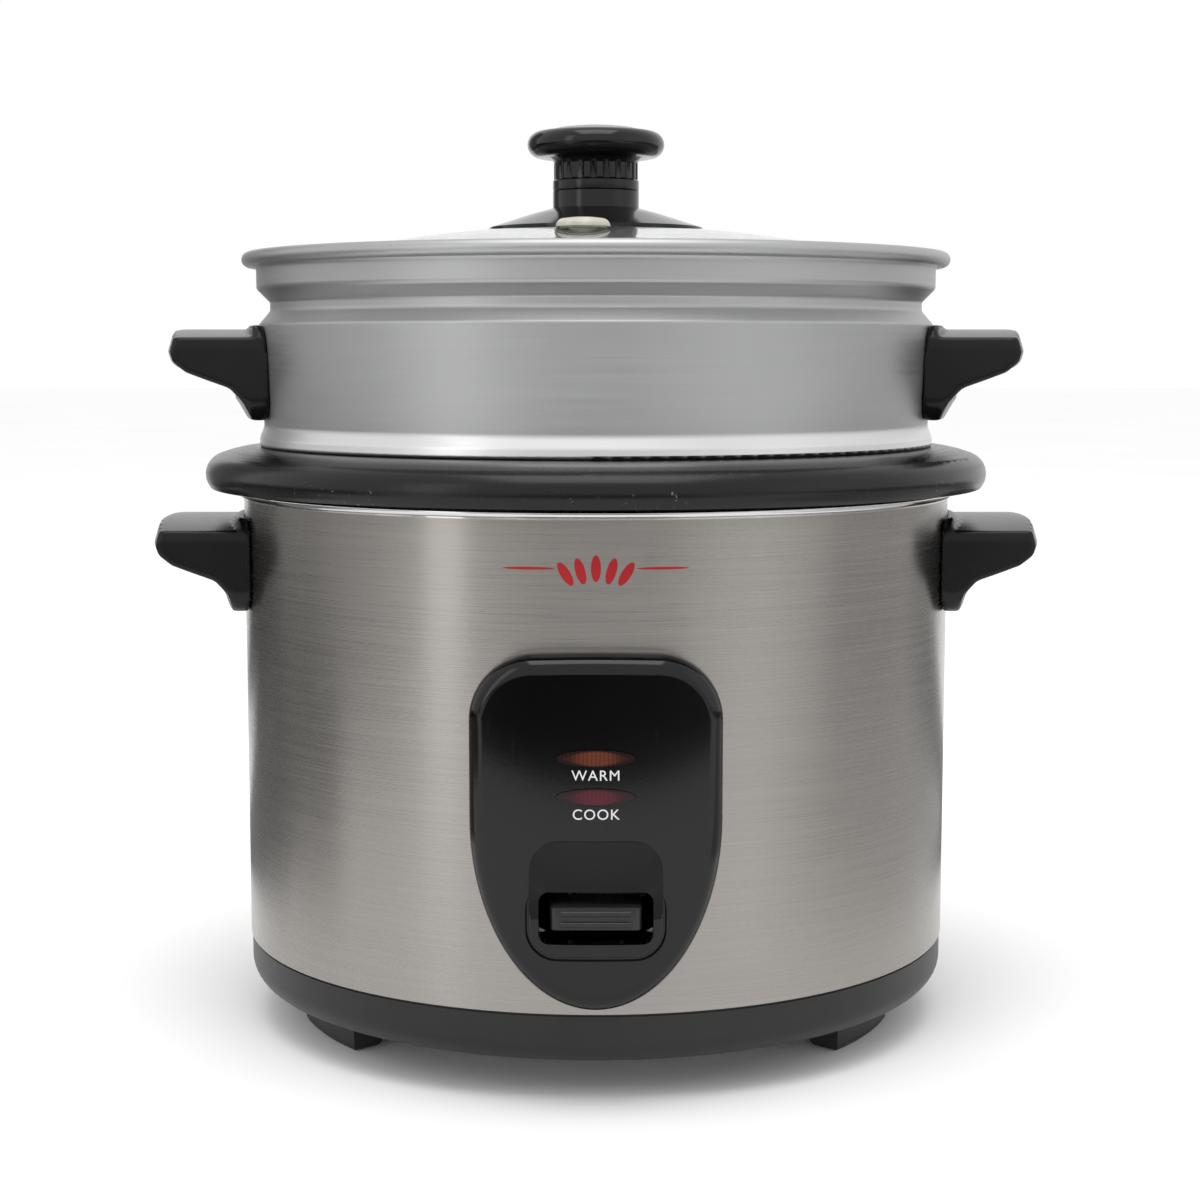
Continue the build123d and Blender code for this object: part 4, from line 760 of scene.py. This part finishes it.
# The vent cap is a small turned dome with a steam slot round its foot, standing in the glass.
vent_low, vent_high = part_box("vent_cap")
vent_x, vent_y = (vent_low[0] + vent_high[0]) / 2, (vent_low[1] + vent_high[1]) / 2
vent_radius = (vent_high[0] - vent_low[0]) / 2
vent_top = vent_high[2]
vent_stem = 4.6 * MM
slot_radius = vent_radius - 1.2 * MM
slot_low = vent_top - 3.4 * MM
slot_high = vent_top - 2.9 * MM
crown_round = 2.6 * MM
crown_centre = (vent_radius - crown_round, vent_top - crown_round - 0.35 * MM)
vent_outline = [(pole, vent_top), (pole, vent_low[2]), (vent_stem, vent_low[2]), (vent_stem, slot_low)]
vent_outline += [(slot_radius, slot_low), (slot_radius, slot_high)]
vent_outline += [(vent_radius - 0.3 * MM, slot_high + 0.1 * MM)]
vent_outline += arc(crown_centre, crown_round, 0, 72, 8)
vent_outline += [(vent_radius - 4.6 * MM, vent_top - 0.1 * MM), (0.3 * MM, vent_top)]
vent_piece = spun("vent_cap_piece", vent_outline, 64)
bpy.ops.object.mode_set(mode="EDIT")
bpy.ops.mesh.select_all(action="SELECT")
bpy.ops.transform.translate(value=(vent_x, vent_y, 0))
bpy.ops.object.mode_set(mode="OBJECT")
bpy.ops.object.shade_smooth_by_angle(angle=math.radians(35))
place_piece(vent_piece, "lid", "vent_metal", vent_metal, "vent_cap")

# ---------------------------------------------------------------- studio
# A pale floor that runs back out of sight, tall soft lights to the left and right and one overhead. The
# camera stands in front, level with the steamer tray, and looks down a little.
floor_size = 24.0
aim_height = 0.12
bpy.ops.object.select_all(action="DESELECT")
bpy.ops.mesh.primitive_plane_add(size=floor_size, location=(0, 0, 0))
floor = bpy.context.object
floor.name = "floor"
floor_finish, wire = new_finish("floor_paint")
mottle = cloud(wire, 3.0)
floor_shader = wire.node(
    "ShaderNodeBsdfPrincipled",
    None,
    {
        "Base Color": mottle.ramp(0.3, 0.7).blend(shade(0.965), shade(0.98)),
        "Roughness": mottle * 0.1 + 0.8,
        "Specular IOR Level": 0.0,
    },
)
close_finish(wire, floor_shader)
floor.data.materials.append(floor_finish)

world = bpy.data.worlds.new("studio_air")
bpy.context.scene.world = world
world.use_nodes = True
world.node_tree.nodes["Background"].inputs["Color"].default_value = (1.0, 1.0, 1.0, 1.0)
world.node_tree.nodes["Background"].inputs["Strength"].default_value = 1.0


def softbox(name, azimuth, distance, height, width, tall, watts):
    """A soft light standing at azimuth degrees round from the front, aimed at the cooker."""
    data = bpy.data.lights.new(name, "AREA")
    data.shape = "RECTANGLE"
    data.size = width
    data.size_y = tall
    data.energy = watts
    lamp = bpy.data.objects.new(name, data)
    bpy.context.scene.collection.objects.link(lamp)
    around = math.radians(azimuth)
    lamp.location = (distance * math.sin(around), -distance * math.cos(around), height)
    down = math.atan2(height - aim_height, distance)
    lamp.rotation_euler = (math.radians(90) - down, 0, around)


softbox("key_left", -46, 1.6, 0.5, 0.36, 1.6, 2.3)
softbox("fill_right", 62, 1.7, 0.5, 0.9, 1.4, 0.8)
softbox("top_light", 0, 0.5, 1.9, 1.3, 1.3, 14)
lying_height = 2 * MM
standing_gap = 10 * MM


def flag(name, azimuth, distance, width, tall, finish, lying=False):
    """A card, standing or lying, that only gloss and metal see. A wider lying card lies a little higher."""
    around = math.radians(azimuth)
    middle = lying_height + width * MM if lying else tall / 2 + standing_gap
    bpy.ops.object.select_all(action="DESELECT")
    bpy.ops.mesh.primitive_plane_add(
        size=1.0,
        location=(distance * math.sin(around), -distance * math.cos(around), middle),
        rotation=(0 if lying else math.radians(90), 0, around),
    )
    card = bpy.context.object
    card.name = name
    card.scale = (width, tall, 1)
    bpy.ops.object.transform_apply(location=True, rotation=True, scale=True)
    card.data.materials.append(finish)
    card.visible_camera = False
    card.visible_shadow = False
    card.visible_diffuse = False
    card.visible_transmission = False


card_black = moulded("card_black", shade(0.03), shade(0.05), 0.8, 200.0, 0.0001, gloss=0.0)
card_grey = moulded("card_grey", shade(0.17), shade(0.21), 0.8, 200.0, 0.0001, gloss=0.0)
card_pale = moulded("card_pale", shade(0.52), shade(0.58), 0.8, 200.0, 0.0001, gloss=0.0)
flag("flag_left", -134, 1.3, 0.7, 1.2, card_grey)
flag("floor_flag_front", 0, 1.65, 1.1, 2.1, card_black, lying=True)
flag("floor_flag_left", -133, 1.55, 0.60, 1.7, card_black, lying=True)
flag("floor_flag_left_close", -124, 0.46, 0.27, 0.44, card_grey, lying=True)
flag("floor_flag_left_near", -102, 0.62, 0.36, 0.64, card_grey, lying=True)
flag("floor_flag_left_far", -110, 2.65, 1.70, 3.4, card_black, lying=True)
flag("floor_flag_left_pale", -80, 1.5, 0.70, 1.9, card_grey, lying=True)
flag("floor_flag_key", -46, 2.1, 1.10, 1.5, card_grey, lying=True)
flag("floor_flag_right_near", 92, 0.6, 0.60, 0.7, card_pale, lying=True)
flag("floor_flag_right_far", 88, 2.4, 2.40, 2.9, card_grey, lying=True)
flag("floor_flag_right", 125, 1.3, 0.50, 2.1, card_grey, lying=True)
flag("floor_flag_far", 0, 3.4, 9.0, 3.2, card_pale, lying=True)

camera_distance = 0.7578
camera_height = 0.2229
camera_dip = 6.417
camera_data = bpy.data.cameras.new("camera")
camera_data.lens = 67.0
camera_data.sensor_width = 36.0
camera_data.shift_x = 0.0034
camera = bpy.data.objects.new("camera", camera_data)
bpy.context.scene.collection.objects.link(camera)
camera.location = (0.0, -camera_distance, camera_height)
camera.rotation_euler = (math.radians(90 - camera_dip), 0, 0)
bpy.context.scene.camera = camera
bpy.context.scene.view_settings.view_transform = "Standard"
